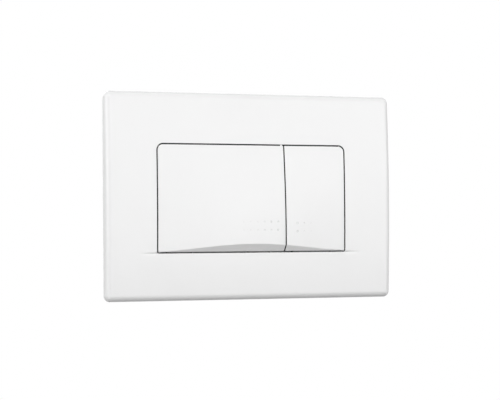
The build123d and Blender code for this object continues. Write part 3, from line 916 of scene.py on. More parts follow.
def button_fittings(form, which):
    """What stands behind a button, in three groups that are united one after the other."""
    low, high = (FULL_LOW, FULL_HIGH) if which == "full" else (HALF_LOW, HALF_HIGH)
    left, right, centre = low.x, high.x, (low.x + high.x) / 2
    foot, top = field_foot(form), field_top(form)
    wall, gap = form.button_wall, FIELD_GAP / 2
    front = return_back(form) + SIDE_CLEARANCE  # of the tongues and the strip
    back = front + TONGUE_THICKNESS

    ribs = Sheet()
    quarter = (right - left + FIELD_GAP) / 4
    for x in (centre - quarter, centre + quarter):
        slab(ribs, rib_outline(form, x, foot + gap + 0.8 * wall, top - gap - 0.6 * wall), x, RIB_THICKNESS)
    push = middle(which + "_push_rod")
    slab(ribs, pusher_outline(form, push.x, push.z), push.x, PUSHER_WIDTH)
    half = TONGUE_WIDTH / 2
    reach = TONGUE_INSET + half
    near, far = min(left + reach, centre), max(right - reach, centre)
    spans = [(near - half, near + half), (far - half, far + half)]
    if far - near < TONGUE_WIDTH:
        spans = [(near - half, far + half)]
    for span in spans:
        block(ribs, *span, front, back, foot - TONGUE_REACH, foot + wall, FINE_EDGE)

    lugs = Sheet()
    for x in lug_places(which):
        slab(lugs, lug_outline(form), x, LUG_THICKNESS)

    strip = Sheet()
    ends = [form.top_corner - gap, form.button_corner]
    inset_left, inset_right = ends if which == "full" else reversed(ends)
    strip_top = HINGE.z - EAR_RADIUS - SIDE_CLEARANCE
    span = left + inset_left, right - inset_right
    block(strip, *span, front, back, top - gap - wall, strip_top, FINE_EDGE)
    return ribs.solid("button_ribs"), lugs.solid("button_lugs"), strip.solid("button_strip")


def make_button(form, dots, which, finish):
    """A moulded button on its own body."""
    piece = button_shell(form, dots, which)
    for fitting in button_fittings(form, which):
        combine(piece, fitting, "UNION")
    combine(piece, rod_hole(RUNNING_CLEARANCE), "DIFFERENCE")
    dress(piece, which + "_flush_button", finish, which + "_button")


# Mounting frame

WINDOW_ABOVE_PUSH = 14.0 * MM
WINDOW_BELOW_COLLAR = 8.0 * MM
WINDOW_BESIDE_COLLAR = 20.0 * MM
WINDOW_RIB_HALF = 3.0 * MM
WINDOW_CORNER = 4.0 * MM
GUIDE_HOLE = 5.55 * MM
BOLT_INSET = 10.0 * MM
BOLT_SLOT_HALF = (3.4 * MM, 8.0 * MM)  # across and up
BOLT_SLOT_ROUND = 3.39 * MM
POST_HALF = 4.0 * MM
POST_EDGE = 0.2 * MM
STEM_HOLE_HALF = 1.52 * MM
STEM_HOLE_EDGE = 0.1 * MM
HOOK_SLOT_EDGE = 0.3 * MM


def flared_cut(outline, front, back, flare):
    """A cutting body through a floor, wider at both faces so that it leaves bevelled edges."""
    sheet = Sheet()
    outline = np.asarray(outline, dtype=float)
    out = outward(outline)
    spare = 0.5 * MM
    rows = []
    for depth, extra in (
        (front - spare, flare + spare),
        (front + flare, 0),
        (back - flare, 0),
        (back + spare, flare + spare),
    ):
        rows.append(sheet.add(along_y(outline + out * extra, depth)))
    sheet.tube(rows)
    return sheet.solid("floor_cut")


def frame_tray(works):
    """Flange, collar and closed floor of the mounting frame."""
    low, high = (-COLLAR.x, -COLLAR.z), (COLLAR.x, COLLAR.z)
    path, out = rounded_rectangle(low, high, works.collar_corner, 16, 14)
    edge, root = works.mould_edge, 2 * works.mould_edge
    front, floor_back = FRAME_LOW.y, FRAME_HIGH.y
    floor_front = floor_back - works.floor
    wall, brim = works.collar_wall, works.collar_wall + works.flange_width
    profile = [(-root * (1 - sin(a)), floor_front - root * (1 - cos(a))) for a in QUARTER]
    profile += [(edge * (1 - cos(a)), front + edge * (1 - sin(a))) for a in QUARTER]
    profile += [(brim - edge * (1 - sin(a)), front + edge * (1 - cos(a))) for a in QUARTER]
    profile += [(brim - edge * (1 - cos(a)), -edge * (1 - sin(a))) for a in QUARTER]
    profile += [(wall + root * (1 - sin(a)), root * (1 - cos(a))) for a in QUARTER]
    profile += [(wall - edge * (1 - cos(a)), floor_back - edge * (1 - sin(a))) for a in QUARTER]
    sheet = Sheet()
    sheet.tube([sheet.add(along_y(path + out * offset, depth)) for offset, depth in profile])
    return sheet.solid("mounting_frame_moulding")


def make_mounting_frame(works, finish):
    """The frame in the wall opening, with its windows, holes, slots and stop posts."""
    piece = frame_tray(works)
    back = FRAME_HIGH.y
    floor = back - works.floor
    flare = works.mould_edge
    push = {which: middle(which + "_push_rod") for which in SIDES}
    low, high = push["full"].z + WINDOW_ABOVE_PUSH, COLLAR.z - WINDOW_BELOW_COLLAR
    wide, rib = COLLAR.x - WINDOW_BESIDE_COLLAR, WINDOW_RIB_HALF
    for x0, x1 in ((-wide, DIVIDER_X - rib), (DIVIDER_X + rib, wide)):
        window = rounded_rectangle((x0, low), (x1, high), WINDOW_CORNER, 6, 9)[0]
        combine(piece, flared_cut(window, floor, back, flare), "DIFFERENCE")
    for which in SIDES:
        hole = arc((push[which].x, push[which].z), GUIDE_HOLE, 0, 360, 49)[0][:-1]
        combine(piece, flared_cut(hole, floor, back, 0.5 * flare), "DIFFERENCE")
    across, up = BOLT_SLOT_HALF
    for place in (BOLT_INSET - COLLAR.x, COLLAR.x - BOLT_INSET):
        slot = rounded_rectangle((place - across, -up), (place + across, up), BOLT_SLOT_ROUND, 2, 12)[0]
        combine(piece, flared_cut(slot, floor, back, flare), "DIFFERENCE")
    slots = Sheet()
    reach = COLLAR.z + works.collar_wall + 20.0 * MM  # well outside the collar
    for x in HOOK_PLACES:
        half = HOOK_WIDTH / 2 + SIDE_CLEARANCE
        ends = HOOK_REACH - BARB_LENGTH - SIDE_CLEARANCE, HOOK_REACH + SIDE_CLEARANCE
        block(slots, x - half, x + half, *ends, -reach, reach, HOOK_SLOT_EDGE)
    combine(piece, slots.solid("hook_slots"), "DIFFERENCE")
    posts, holes = Sheet(), Sheet()
    for which in SIDES:
        for x, z, front, stem in buffer_places(which):
            outline = soften(square(x, z, POST_HALF), flare)
            prism(posts, outline, front, floor + 0.5 * works.floor, POST_EDGE)
            hole = square(x, z, STEM_HOLE_HALF)
            prism(holes, hole, front - 1.0 * MM, stem + SIDE_CLEARANCE, STEM_HOLE_EDGE)
    combine(piece, posts.solid("stop_posts"), "UNION")
    combine(piece, holes.solid("stem_holes"), "DIFFERENCE")
    dress(piece, "mounting_frame", finish)


def square(x, z, half):
    """A square outline in X and Z."""
    return np.array([x, z]) + half * np.array([(-1, -1), (1, -1), (1, 1), (-1, 1)])


# Buffers

BUFFER_THICKNESS = 2.0 * MM
BUFFER_HALF = 4.0 * MM


def buffer_places(which):
    """Place, rear face and stem end of a button's two buffers."""
    low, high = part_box(which + "_button_buffers")
    z = (low.z + high.z) / 2
    places = (low.x + BUFFER_HALF, high.x - BUFFER_HALF)
    return [(x, z, low.y + BUFFER_THICKNESS, high.y) for x in places]


def make_buffers(which, finish):
    """Two rubber buffers with bevelled fronts and stems."""
    sheet = Sheet()
    stem_half, corner, bevel, soft = 1.5 * MM, 0.6 * MM, 0.5 * MM, 0.12 * MM
    for x, z, back, stem in buffer_places(which):
        front = back - BUFFER_THICKNESS
        pad = soften(square(x, z, BUFFER_HALF), corner)
        post = np.array([x, z]) + (pad - [x, z]) * (stem_half / BUFFER_HALF)
        out = outward(pad)
        rows = [pad - out * bevel, pad - out * 0.2 * soft, pad, pad, pad - out * soft, post, post, post]
        depths = [front, front + bevel, front + bevel + soft, back - soft, back, back, stem - soft, stem]
        numbers = [sheet.add(along_y(points, depth)) for points, depth in zip(rows, depths)]
        sheet.tube(numbers)
    dress(sheet.solid(which + "_button_buffer_pads"), which + "_button_buffers", finish)


# Hinge


def make_hinge_rod(finish):
    """A ground steel rod with bevelled ends."""
    low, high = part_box("hinge_rod")
    radius, bevel = (high.z - low.z) / 2, 0.3 * MM
    stops = np.linspace(low.x + bevel, high.x - bevel, 40)
    profile = [(radius - bevel, low.x)] + [(radius, x) for x in stops] + [(radius - bevel, high.x)]
    sheet = Sheet()
    lathe_across(sheet, profile, HINGE.y, HINGE.z)
    dress(sheet.solid("hinge_rod_ground"), "hinge_rod", finish)


def make_hinge_caps(finish):
    """The push-on caps at the rod's ends, each with a soft outer edge and a bore."""
    low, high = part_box("hinge_rod_caps")
    radius, bore = (high.z - low.z) / 2, half_size("hinge_rod", "z") + HOLD_CLEARANCE
    size, floor, soft, lead = 5.0 * MM, 1.4 * MM, 0.5 * MM, 0.2 * MM
    end, start = high.x, high.x - size
    profile = [(bore, end - floor), (bore, start + lead), (bore + lead, start), (radius - lead, start)]
    profile += [(radius, start + lead)]
    profile += [(radius - soft * (1 - cos(a)), end - soft * (1 - sin(a))) for a in QUARTER]
    sheet = Sheet()
    for side in (-1, 1):
        lathe_across(sheet, [(r, side * x) for r, x in profile], HINGE.y, HINGE.z)
    dress(sheet.solid("hinge_rod_end_caps"), "hinge_rod_caps", finish)


# Push rods and what is on them

THREAD_ROWS = 8  # rows of points to one turn of a thread
THREAD_SLOPE, THREAD_CREST = 1.25, 0.1  # steepness of a thread's flanks and width of its crests
GROOVE_DEPTH = 0.6 * MM


def screw_rows(sheet, stretches, x, z, works, segments=40):
    """Rows of a rod from its front to its end: each stretch is plain or carries a thread."""
    angles, circle = circle_steps(segments)
    rows, met = [], None
    pitch, depth = works.thread_pitch, works.thread_depth
    for start, end, first, last, threaded in stretches:
        count = max(2, round((end - start) / pitch * THREAD_ROWS) + 1) if threaded else 2
        places = np.linspace(start, end, count)
        shared = met == (start, first)  # the row where two stretches meet is made once
        met = (end, last)
        for y in places[1:] if shared else places:
            share = (y - start) / (end - start)
            radius = np.full(segments, first + share * (last - first))
            if threaded:
                fade = min(1, (y - start) / pitch, (end - y) / pitch)
                wave = np.abs(((y / pitch - angles / (2 * pi)) % 1) * 2 - 1)
                radius -= depth * fade * np.clip(THREAD_SLOPE * wave - THREAD_CREST, 0, 1)
            rows.append(sheet.add(along_y(np.array([x, z]) + radius[:, None] * circle, y)))
    sheet.tube(rows)


def make_push_rod(works, which, finish):
    """A push rod: thread for the head, smooth shaft, clip groove and a long thread into the cistern."""
    low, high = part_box(which + "_push_rod")
    place = middle(which + "_push_rod")
    clip_low, clip_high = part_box(which + "_rod_clip")
    radius = (high.x - low.x) / 2
    groove = radius - GROOVE_DEPTH
    spare = 2.0 * MM  # of thread behind the nut, and of shaft behind the clip
    front_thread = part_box(which + "_lock_nut")[1].y + spare
    rear_thread = clip_high.y + spare
    bevel, lead, slit = 0.3 * MM, 0.8 * MM, HOLD_CLEARANCE
    stretches = [
        (low.y, low.y + bevel, radius - bevel, radius, False),
        (low.y + bevel, front_thread, radius, radius, True),
        (front_thread, clip_low.y - slit, radius, radius, False),
        (clip_low.y - slit, clip_high.y + slit, groove, groove, False),
        (clip_high.y + slit, rear_thread, radius, radius, False),
        (rear_thread, high.y - lead, radius, radius, True),
        (high.y - lead, high.y, radius, radius - lead, False),
    ]
    sheet = Sheet()
    screw_rows(sheet, stretches, place.x, place.z, works)
    dress(sheet.solid(which + "_push_rod_threaded"), which + "_push_rod", finish, which + "_push")


def make_push_head(which, finish):
    """The disc that the button presses, with a bevelled front."""
    low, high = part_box(which + "_push_head")
    place = middle(which + "_push_head")
    outer, bevel, soft = (high.x - low.x) / 2, 0.6 * MM, 0.2 * MM
    bore = half_size(which + "_push_rod", "x") + HOLD_CLEARANCE
    corners = [(bore, low.y), (outer - bevel, low.y), (outer, low.y + bevel)]
    corners += [(outer, high.y), (bore, high.y)]
    sheet = Sheet()
    lathe(sheet, soften(corners, soft), place.x, place.z)
    dress(sheet.solid(which + "_push_head_disc"), which + "_push_head", finish, which + "_push")


def make_lock_nut(which, finish):
    """A hexagon nut with the usual bevelled corners."""
    low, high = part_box(which + "_lock_nut")
    place = middle(which + "_lock_nut")
    flat = min(high.x - low.x, high.z - low.z) / 2
    bore = half_size(which + "_push_rod", "x") + HOLD_CLEARANCE
    angles, circle = circle_steps(96)
    hexagon = flat / np.cos(angles % (pi / 3) - pi / 6)
    face, lead = 0.97 * flat, 0.3 * MM
    drop = (hexagon - face) * tan(radians(30))
    rows = [
        (bore, low.y + lead),
        (bore + lead, low.y),
        (face, low.y),
        (hexagon, low.y + drop),
        (hexagon, high.y - drop),
        (face, high.y),
        (bore + lead, high.y),
        (bore, high.y - lead),
    ]
    sheet = Sheet()
    numbers = []
    for radius, depth in rows:
        points = np.array([place.x, place.z]) + np.broadcast_to(radius, angles.shape)[:, None] * circle
        numbers.append(sheet.add(along_y(points, depth)))
    sheet.tube(numbers, closed_end_to_end=True)
    dress(sheet.solid(which + "_lock_nut_hexagon"), which + "_lock_nut", finish, which + "_push")


def make_rod_guide(which, finish):
    """A flanged bush with a soft lead-in at both ends of its bore."""
    low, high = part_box(which + "_rod_guide")
    place = middle(which + "_rod_guide")
    bore = half_size(which + "_push_rod", "x") + RUNNING_CLEARANCE
    flange, tube, soft = (high.x - low.x) / 2, 5.5 * MM, 0.3 * MM
    shoulder = low.y + 1.5 * MM
    corners = [(bore, low.y), (flange, low.y), (flange, shoulder)]
    corners += [(tube, shoulder), (tube, high.y), (bore, high.y)]
    sheet = Sheet()
    lathe(sheet, soften(corners, soft), place.x, place.z)
    dress(sheet.solid(which + "_rod_guide_bush"), which + "_rod_guide", finish)


def make_rod_clip(which, finish):
    """An open spring clip in the rod's groove."""
    low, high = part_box(which + "_rod_clip")
    place = middle(which + "_push_rod")
    outer = (high.x - low.x) / 2
    inner, mouth, edge = 2.42 * MM, 1.9 * MM, 0.12 * MM
    lean_out, lean_in = np.degrees(np.arcsin([mouth / outer, mouth / inner]))
    centre = (place.x, place.z)
    outline = np.concatenate(
        [
            arc(centre, outer, -90 + lean_out, 270 - lean_out, 60)[0],
            arc(centre, inner, 270 - lean_in, -90 + lean_in, 48)[0],
        ]
    )
    sheet = Sheet()
    prism(sheet, outline, low.y, high.y, edge)
    dress(sheet.solid(which + "_rod_clip_stamped"), which + "_rod_clip", finish, which + "_push")


def make_return_spring(works, which, finish):
    """A coil spring with closed ends, between the push head and the rod guide."""
    low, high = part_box(which + "_return_spring")
    place = middle(which + "_push_rod")
    wire = works.spring_wire
    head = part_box(which + "_push_head")[1].y
    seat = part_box(which + "_rod_guide")[0].y
    radius = (high.x - low.x) / 2 - wire / 2
    steps, sides, smooth = 48, 14, 15  # points to a turn, round the wire and to each side of a soft bend
    shares = np.linspace(0, 1, round(works.spring_turns * steps) + 1)
    ends, low_rise = 0.16, 0.075  # shares of the wire and of the height in each nearly flat end
    rise = np.interp(shares, [0, ends, 1 - ends, 1], [0, low_rise, 1 - low_rise, 1])
    kernel = np.hanning(2 * smooth + 1) / np.sum(np.hanning(2 * smooth + 1))
    rise = np.convolve(np.pad(rise, smooth, mode="reflect", reflect_type="odd"), kernel, mode="valid")
    start = head + wire / 2 + HOLD_CLEARANCE
    end = seat - wire / 2 - HOLD_CLEARANCE
    angle = 2 * pi * works.spring_turns * shares
    path = np.column_stack(
        [place.x + radius * np.cos(angle), start + rise * (end - start), place.z + radius * np.sin(angle)]
    )
    ahead = np.gradient(path, axis=0)
    ahead /= np.linalg.norm(ahead, axis=1, keepdims=True)
    outwards = np.column_stack([np.cos(angle), np.zeros_like(angle), np.sin(angle)])
    across = np.cross(ahead, outwards)
    sheet = Sheet()
    circle = circle_steps(sides)[1]
    ways = zip(path, outwards, across)
    sheet.tube([sheet.add(point + wire / 2 * (circle @ [out, cross])) for point, out, cross in ways])
    piece = sheet.solid(which + "_return_spring_coil")
    dress(piece, which + "_return_spring", finish)
    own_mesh(piece)


# Fixings


def make_fixing_bolts(works, finish):
    """Two bolts with tall hexagon heads, coin slots, thin necks and threads."""
    low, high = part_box("fixing_bolts")
    heads, shanks, cuts = Sheet(), Sheet(), Sheet()
    head_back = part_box("fixing_washers")[0].y
    neck_end = FRAME_HIGH.y + 2.0 * MM
    flat, radius, neck, lead = 7.0 * MM, 3.0 * MM, 2.6 * MM, 0.8 * MM
    soft, neck_flare, slot_half = 0.5 * MM, radius - neck, 0.9 * MM
    slot_front, slot_back = low.y - 2 * MM, low.y + (head_back - low.y) / 3
    stretches = [
        (head_back - soft, neck_end - neck_flare, neck, neck, False),
        (neck_end - neck_flare, neck_end, neck, radius, False),
        (neck_end, high.y - lead, radius, radius, True),
        (high.y - lead, high.y, radius, radius - lead, False),
    ]
    for x in (BOLT_INSET - COLLAR.x, COLLAR.x - BOLT_INSET):
        hexagon = np.array([x, 0]) + flat / cos(pi / 6) * circle_steps(6)[1]
        prism(heads, soften(hexagon, soft), low.y, head_back, soft)
        screw_rows(shanks, stretches, x, 0, works)
        span = x - 2 * flat, x + 2 * flat
        block(cuts, *span, slot_front, slot_back, -slot_half, slot_half, FINE_EDGE)
    piece = heads.solid("fixing_bolts_threaded")
    combine(piece, cuts.solid("coin_slots"), "DIFFERENCE")
    combine(piece, shanks.solid("bolt_shanks"), "UNION")
    dress(piece, "fixing_bolts", finish)


def make_fixing_washers(finish):
    """A flat washer under each bolt."""
    low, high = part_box("fixing_washers")
    radius, bore, soft = (high.z - low.z) / 2, 3.05 * MM, 0.25 * MM
    corners = [(bore, low.y), (radius, low.y), (radius, high.y), (bore, high.y)]
    sheet = Sheet()
    for x in (low.x + radius, high.x - radius):
        lathe(sheet, soften(corners, soft), x, 0)
    dress(sheet.solid("fixing_washers_stamped"), "fixing_washers", finish)


# Finishes

NOISE_LOW, NOISE_HIGH = 0.3, 0.7  # between which nearly all of a noise lies
# painted shade: the base colour is darkened by ambient occlusion deep in narrow joints; these set where it
# starts, its reach and its darkest level
JOINT_CLOSED, JOINT_OPEN = 0.4, 0.8  # share of open sky at which a joint is darkest, and not dark
JOINT_SAMPLES = 8
JOINT_REACH = 3.0 * MM
JOINT_PAINTED_SHADE = 0.03


class FinishNodes:
    """A material's nodes, with short ways to add noise, bump and a mix of two values."""

    def __init__(self, name):
        self.material = bpy.data.materials.new(name)
        self.material.use_nodes = True
        self.tree = self.material.node_tree
        self.shader = self.tree.nodes["Principled BSDF"]
        self.place = self.tree.nodes.new("ShaderNodeTexCoord").outputs["Object"]

    def noise(self, scale, detail=3.0, stretch=(1, 1, 1)):
        """Noise over the object, its scale counted in grains to the metre."""
        mapping = self.tree.nodes.new("ShaderNodeMapping")
        mapping.inputs["Scale"].default_value = stretch
        texture = self.tree.nodes.new("ShaderNodeTexNoise")
        texture.inputs["Scale"].default_value = scale
        texture.inputs["Detail"].default_value = detail
        self.tree.links.new(self.place, mapping.inputs["Vector"])
        self.tree.links.new(mapping.outputs["Vector"], texture.inputs["Vector"])
        return texture.outputs["Fac"]

    def vary(self, socket, factor, low, high):
        """Let a number of the shader vary between two values."""
        spread = self.tree.nodes.new("ShaderNodeMapRange")
        spread.inputs["From Min"].default_value = NOISE_LOW
        spread.inputs["From Max"].default_value = NOISE_HIGH
        spread.inputs["To Min"].default_value = low
        spread.inputs["To Max"].default_value = high
        self.tree.links.new(factor, spread.inputs["Value"])
        self.tree.links.new(spread.outputs["Result"], self.shader.inputs[socket])

    def tint(self, factor, low, high):
        """Let the base colour vary between two colours."""
        ramp = self.tree.nodes.new("ShaderNodeValToRGB")
        ramp.color_ramp.elements[0].position = NOISE_LOW
        ramp.color_ramp.elements[1].position = NOISE_HIGH
        ramp.color_ramp.elements[0].color = (*low, 1)
        ramp.color_ramp.elements[1].color = (*high, 1)
        self.tree.links.new(factor, ramp.inputs["Fac"])
        self.tree.links.new(ramp.outputs["Color"], self.shader.inputs["Base Color"])

    def paint_joint_shade(self, reach, dark):
        """Paint shade into the base colour deep in narrow joints: darker where a point sees less open sky.
        """
        open_share = self.tree.nodes.new("ShaderNodeAmbientOcclusion")
        open_share.samples = JOINT_SAMPLES
        open_share.inputs["Distance"].default_value = reach
        spread = self.tree.nodes.new("ShaderNodeMapRange")
        spread.inputs["From Min"].default_value = JOINT_CLOSED
        spread.inputs["From Max"].default_value = JOINT_OPEN
        spread.inputs["To Min"].default_value = dark
        scale = self.tree.nodes.new("ShaderNodeVectorMath")
        scale.operation = "SCALE"
        base = self.shader.inputs["Base Color"]
        self.tree.links.new(base.links[0].from_socket, scale.inputs[0])
        self.tree.links.new(open_share.outputs["AO"], spread.inputs["Value"])
        self.tree.links.new(spread.outputs["Result"], scale.inputs["Scale"])
        self.tree.links.new(scale.outputs["Vector"], base)

    def relief(self, factor, depth, strength):
        """A fine bump on the surface."""
        bump = self.tree.nodes.new("ShaderNodeBump")
        bump.inputs["Distance"].default_value = depth
        bump.inputs["Strength"].default_value = strength
        self.tree.links.new(factor, bump.inputs["Height"])
        self.tree.links.new(bump.outputs["Normal"], self.shader.inputs["Normal"])

    def set(self, **values):
        """Set plain values on the shader's own sockets."""
        for socket, value in values.items():
            self.shader.inputs[socket.replace("_", " ")].default_value = value


def shade(rgb, factor):
    """A colour made lighter or darker."""
    return tuple(min(1.0, part * factor) for part in rgb)


def white_gloss(finish):
    """Gloss white moulded plastic with a faint flow in its surface, and painted shade deep in its narrow
    joints.
    """
    nodes = FinishNodes("gloss white plastic")
    rgb = finish.gloss_white
    nodes.tint(nodes.noise(18), shade(rgb, 0.994), shade(rgb, 1.004))
    # painted shade: the white is darkened deep in the narrow joints
    nodes.paint_joint_shade(JOINT_REACH, JOINT_PAINTED_SHADE)
    nodes.vary("Roughness", nodes.noise(90), 0.2, 0.27)
    nodes.relief(nodes.noise(420, 2), 0.004 * MM, 0.12)
    nodes.set(IOR=1.5)
    return nodes.material


def frame_plastic(finish):
    """Pale grey moulded plastic with a fine grain."""
    nodes = FinishNodes("pale grey frame plastic")
    rgb = finish.frame_grey
    nodes.tint(nodes.noise(35, 4), shade(rgb, 0.95), shade(rgb, 1.04))
    nodes.vary("Roughness", nodes.noise(240), 0.42, 0.58)
    nodes.relief(nodes.noise(1800, 2), 0.02 * MM, 0.3)
    nodes.set(IOR=1.5)
    return nodes.material


def grey_plastic(finish):
    """Dark grey plastic, a little worn to a lighter tone in patches."""
    nodes = FinishNodes("dark grey plastic")
    rgb = finish.dark_grey
    nodes.tint(nodes.noise(120, 5), shade(rgb, 0.9), shade(rgb, 1.12))
    nodes.vary("Roughness", nodes.noise(500), 0.36, 0.52)
    nodes.relief(nodes.noise(2600, 2), 0.015 * MM, 0.3)
    nodes.set(IOR=1.5)
    return nodes.material


def rod_plastic(finish):
    """Natural plastic that lets a little light in."""
    nodes = FinishNodes("natural rod plastic")
    rgb = finish.natural
    nodes.tint(nodes.noise(150, 4), shade(rgb, 0.96), shade(rgb, 1.03))
    nodes.vary("Roughness", nodes.noise(700), 0.3, 0.44)
    nodes.relief(nodes.noise(3000, 2), 0.01 * MM, 0.25)
    nodes.set(IOR=1.53, Subsurface_Weight=0.15, Subsurface_Scale=1.0 * MM)
    return nodes.material


def stainless(finish):
    """Drawn stainless steel with fine lines along the rod."""
    nodes = FinishNodes("drawn stainless steel")
    rgb = finish.stainless
    nodes.tint(nodes.noise(600, 4, (0.05, 1, 1)), shade(rgb, 0.92), shade(rgb, 1.06))
    nodes.vary("Roughness", nodes.noise(900, 3, (0.04, 1, 1)), 0.2, 0.34)
    nodes.relief(nodes.noise(2500, 2, (0.03, 1, 1)), 0.006 * MM, 0.3)
    nodes.set(Metallic=1.0)
    return nodes.material


def zinc_steel(finish):
    """Zinc-plated steel with faint spangle."""
    nodes = FinishNodes("zinc plated steel")
    rgb = finish.zinc
    nodes.tint(nodes.noise(420, 6), shade(rgb, 0.86), shade(rgb, 1.08))
    nodes.vary("Roughness", nodes.noise(650, 4), 0.28, 0.45)
    nodes.relief(nodes.noise(1800, 3), 0.01 * MM, 0.35)
    nodes.set(Metallic=1.0)
    return nodes.material


def buffer_rubber(finish):
    """Black rubber with a dull, dusty bloom."""
    nodes = FinishNodes("black buffer rubber")
    rgb = finish.rubber
    nodes.tint(nodes.noise(260, 5), shade(rgb, 0.8), shade(rgb, 1.5))
    nodes.vary("Roughness", nodes.noise(900), 0.62, 0.8)
    nodes.relief(nodes.noise(2400, 3), 0.03 * MM, 0.4)
    nodes.set(IOR=1.52)
    return nodes.material


MADE = {}


def kept(make):
    """Make a finish once and keep it for the pieces that share it."""
    if make.__name__ not in MADE:
        MADE[make.__name__] = make(bpy.context.scene.flush_plate_finish)
    return MADE[make.__name__]


# Studio

FLOOR_RADIUS = 1.6
FLOOR_FADE_START, FLOOR_FADE_END = 0.2, 0.95  # distances over which the floor fades to white
FLOOR_WHITE = 0.35  # share of white under the object
FLOOR_ROUGHNESS = 0.9
SENSOR_WIDTH = 36
LAMPS = (  # name, place, size and the setting that holds the power
    ("key_lamp", (1.75, -1.65, 0.7), 1.3, "key_power"),
    ("left_lamp", (-2.25, -0.9, 0.62), 1.6, "left_power"),
    ("top_lamp", (-0.3, -2.0, 2.0), 1.7, "top_power"),
    ("front_lamp", (1.0, -2.4, 0.15), 1.3, "front_power"),
    ("rear_lamp", (-0.6, 2.3, 1.2), 1.8, "rear_power"),
)


def make_floor(studio):
    """A pale floor that fades to white away from the object and keeps its shadow."""
    sheet = Sheet()
    level = PLATE_LOW.z - studio.floor_drop
    circle = FLOOR_RADIUS * circle_steps(96)[1]
    sheet.cap(sheet.add(np.column_stack([circle, np.full(len(circle), level)])))
    floor = sheet.solid("studio_floor")
    material = bpy.data.materials.new("studio_floor")
    material.use_nodes = True
    tree = material.node_tree
    shader = tree.nodes["Principled BSDF"]
    shader.inputs["Roughness"].default_value = FLOOR_ROUGHNESS
    grey = tree.nodes.new("ShaderNodeMapRange")
    grey.inputs["To Min"].default_value = studio.floor_bounce
    grey.inputs["To Max"].default_value = studio.floor_tone
    white = tree.nodes.new("ShaderNodeEmission")
    mix = tree.nodes.new("ShaderNodeMixShader")
    place = tree.nodes.new("ShaderNodeTexCoord")
    far = tree.nodes.new("ShaderNodeVectorMath")
    far.operation = "LENGTH"
    fade = tree.nodes.new("ShaderNodeMapRange")
    fade.interpolation_type = "SMOOTHSTEP"
    fade.inputs["From Min"].default_value = FLOOR_FADE_START
    fade.inputs["From Max"].default_value = FLOOR_FADE_END
    fade.inputs["To Min"].default_value = FLOOR_WHITE
    seen = seen_ray(tree)
    tree.links.new(seen, grey.inputs["Value"])
    tree.links.new(grey.outputs["Result"], shader.inputs["Base Color"])
    both = tree.nodes.new("ShaderNodeMath")
    both.operation = "MULTIPLY"
    flat = tree.nodes.new("ShaderNodeVectorMath")
    flat.operation = "MULTIPLY"
    flat.inputs[1].default_value = (1, 1, 0)
    tree.links.new(place.outputs["Object"], flat.inputs[0])
    tree.links.new(flat.outputs["Vector"], far.inputs[0])
    tree.links.new(far.outputs["Value"], fade.inputs["Value"])
    tree.links.new(fade.outputs["Result"], both.inputs[0])
    tree.links.new(seen, both.inputs[1])
    tree.links.new(both.outputs["Value"], mix.inputs["Fac"])
    tree.links.new(shader.outputs["BSDF"], mix.inputs[1])
    tree.links.new(white.outputs["Emission"], mix.inputs[2])
    tree.links.new(mix.outputs["Shader"], tree.nodes["Material Output"].inputs["Surface"])
    floor.data.materials.append(material)


def seen_ray(tree):
    """One for rays that the camera sees straight, in a gloss or through glass, else nothing."""
    path = tree.nodes.new("ShaderNodeLightPath")
    total = path.outputs["Is Camera Ray"]
    for ray in ("Is Glossy Ray", "Is Transmission Ray"):
        add = tree.nodes.new("ShaderNodeMath")
        add.operation = "MAXIMUM"
        tree.links.new(total, add.inputs[0])
        tree.links.new(path.outputs[ray], add.inputs[1])
        total = add.outputs["Value"]
    return total


def make_world(studio):
    """White surroundings, at full strength where they are seen and at a plain level as light."""
    world = bpy.data.worlds.new("studio_world")
    bpy.context.scene.world = world
    world.use_nodes = True
    tree = world.node_tree
    background = tree.nodes["Background"]
    background.inputs["Color"].default_value = (1, 1, 1, 1)
    strength = tree.nodes.new("ShaderNodeMapRange")
    strength.inputs["To Min"].default_value = studio.ambient
    tree.links.new(seen_ray(tree), strength.inputs["Value"])
    tree.links.new(strength.outputs["Result"], background.inputs["Strength"])


def make_lamp(name, place, size, power):
    """A soft square lamp that looks at the plate."""
    light = bpy.data.lights.new(name, "AREA")
    light.size = size
    light.energy = power
    lamp = bpy.data.objects.new(name, light)
    bpy.context.scene.collection.objects.link(lamp)
    lamp.location = place
    lamp.rotation_euler = (-Vector(place)).to_track_quat("-Z", "Y").to_euler()


def make_camera(studio):
    """The camera at the photograph's view."""
    data = bpy.data.cameras.new("studio_camera")
    data.lens = studio.camera_lens
    data.sensor_width = SENSOR_WIDTH
    data.sensor_fit = "HORIZONTAL"
    data.shift_x, data.shift_y = studio.camera_shift
    camera = bpy.data.objects.new("studio_camera", data)
    bpy.context.scene.collection.objects.link(camera)
    look = Matrix.Rotation(-studio.camera_turn, 4, "Z")
    look = look @ Matrix.Rotation(pi / 2 + studio.camera_pitch, 4, "X")
    look = look @ Matrix.Rotation(studio.camera_roll, 4, "Z")
    camera.matrix_world = Matrix.Translation(studio.camera_place) @ look
    bpy.context.scene.camera = camera


# Operators


class FLUSHPLATE_OT_cover_plate(Operator):
    """Build the moulded cover plate"""

    bl_idname = "flushplate.cover_plate"
    bl_label = "Cover plate"

    def execute(self, context):
        make_cover_plate(context.scene.flush_plate_front, white_gloss)
        return {"FINISHED"}


class FLUSHPLATE_OT_buttons(Operator):
    """Build the wide and the narrow button with their dimples"""

    bl_idname = "flushplate.buttons"
    bl_label = "Buttons"

    def execute(self, context):
        scene = context.scene
        for which in SIDES:
            make_button(scene.flush_plate_front, scene.flush_plate_dots, which, white_gloss)
        return {"FINISHED"}


class FLUSHPLATE_OT_mounting_frame(Operator):
    """Build the mounting frame in the wall opening"""

    bl_idname = "flushplate.mounting_frame"
    bl_label = "Mounting frame"

    def execute(self, context):
        make_mounting_frame(context.scene.flush_plate_works, frame_plastic)
        return {"FINISHED"}


class FLUSHPLATE_OT_hinge(Operator):
    """Build the hinge rod and its caps"""

    bl_idname = "flushplate.hinge"
    bl_label = "Hinge"

    def execute(self, context):
        make_hinge_rod(stainless)
        make_hinge_caps(grey_plastic)
        return {"FINISHED"}


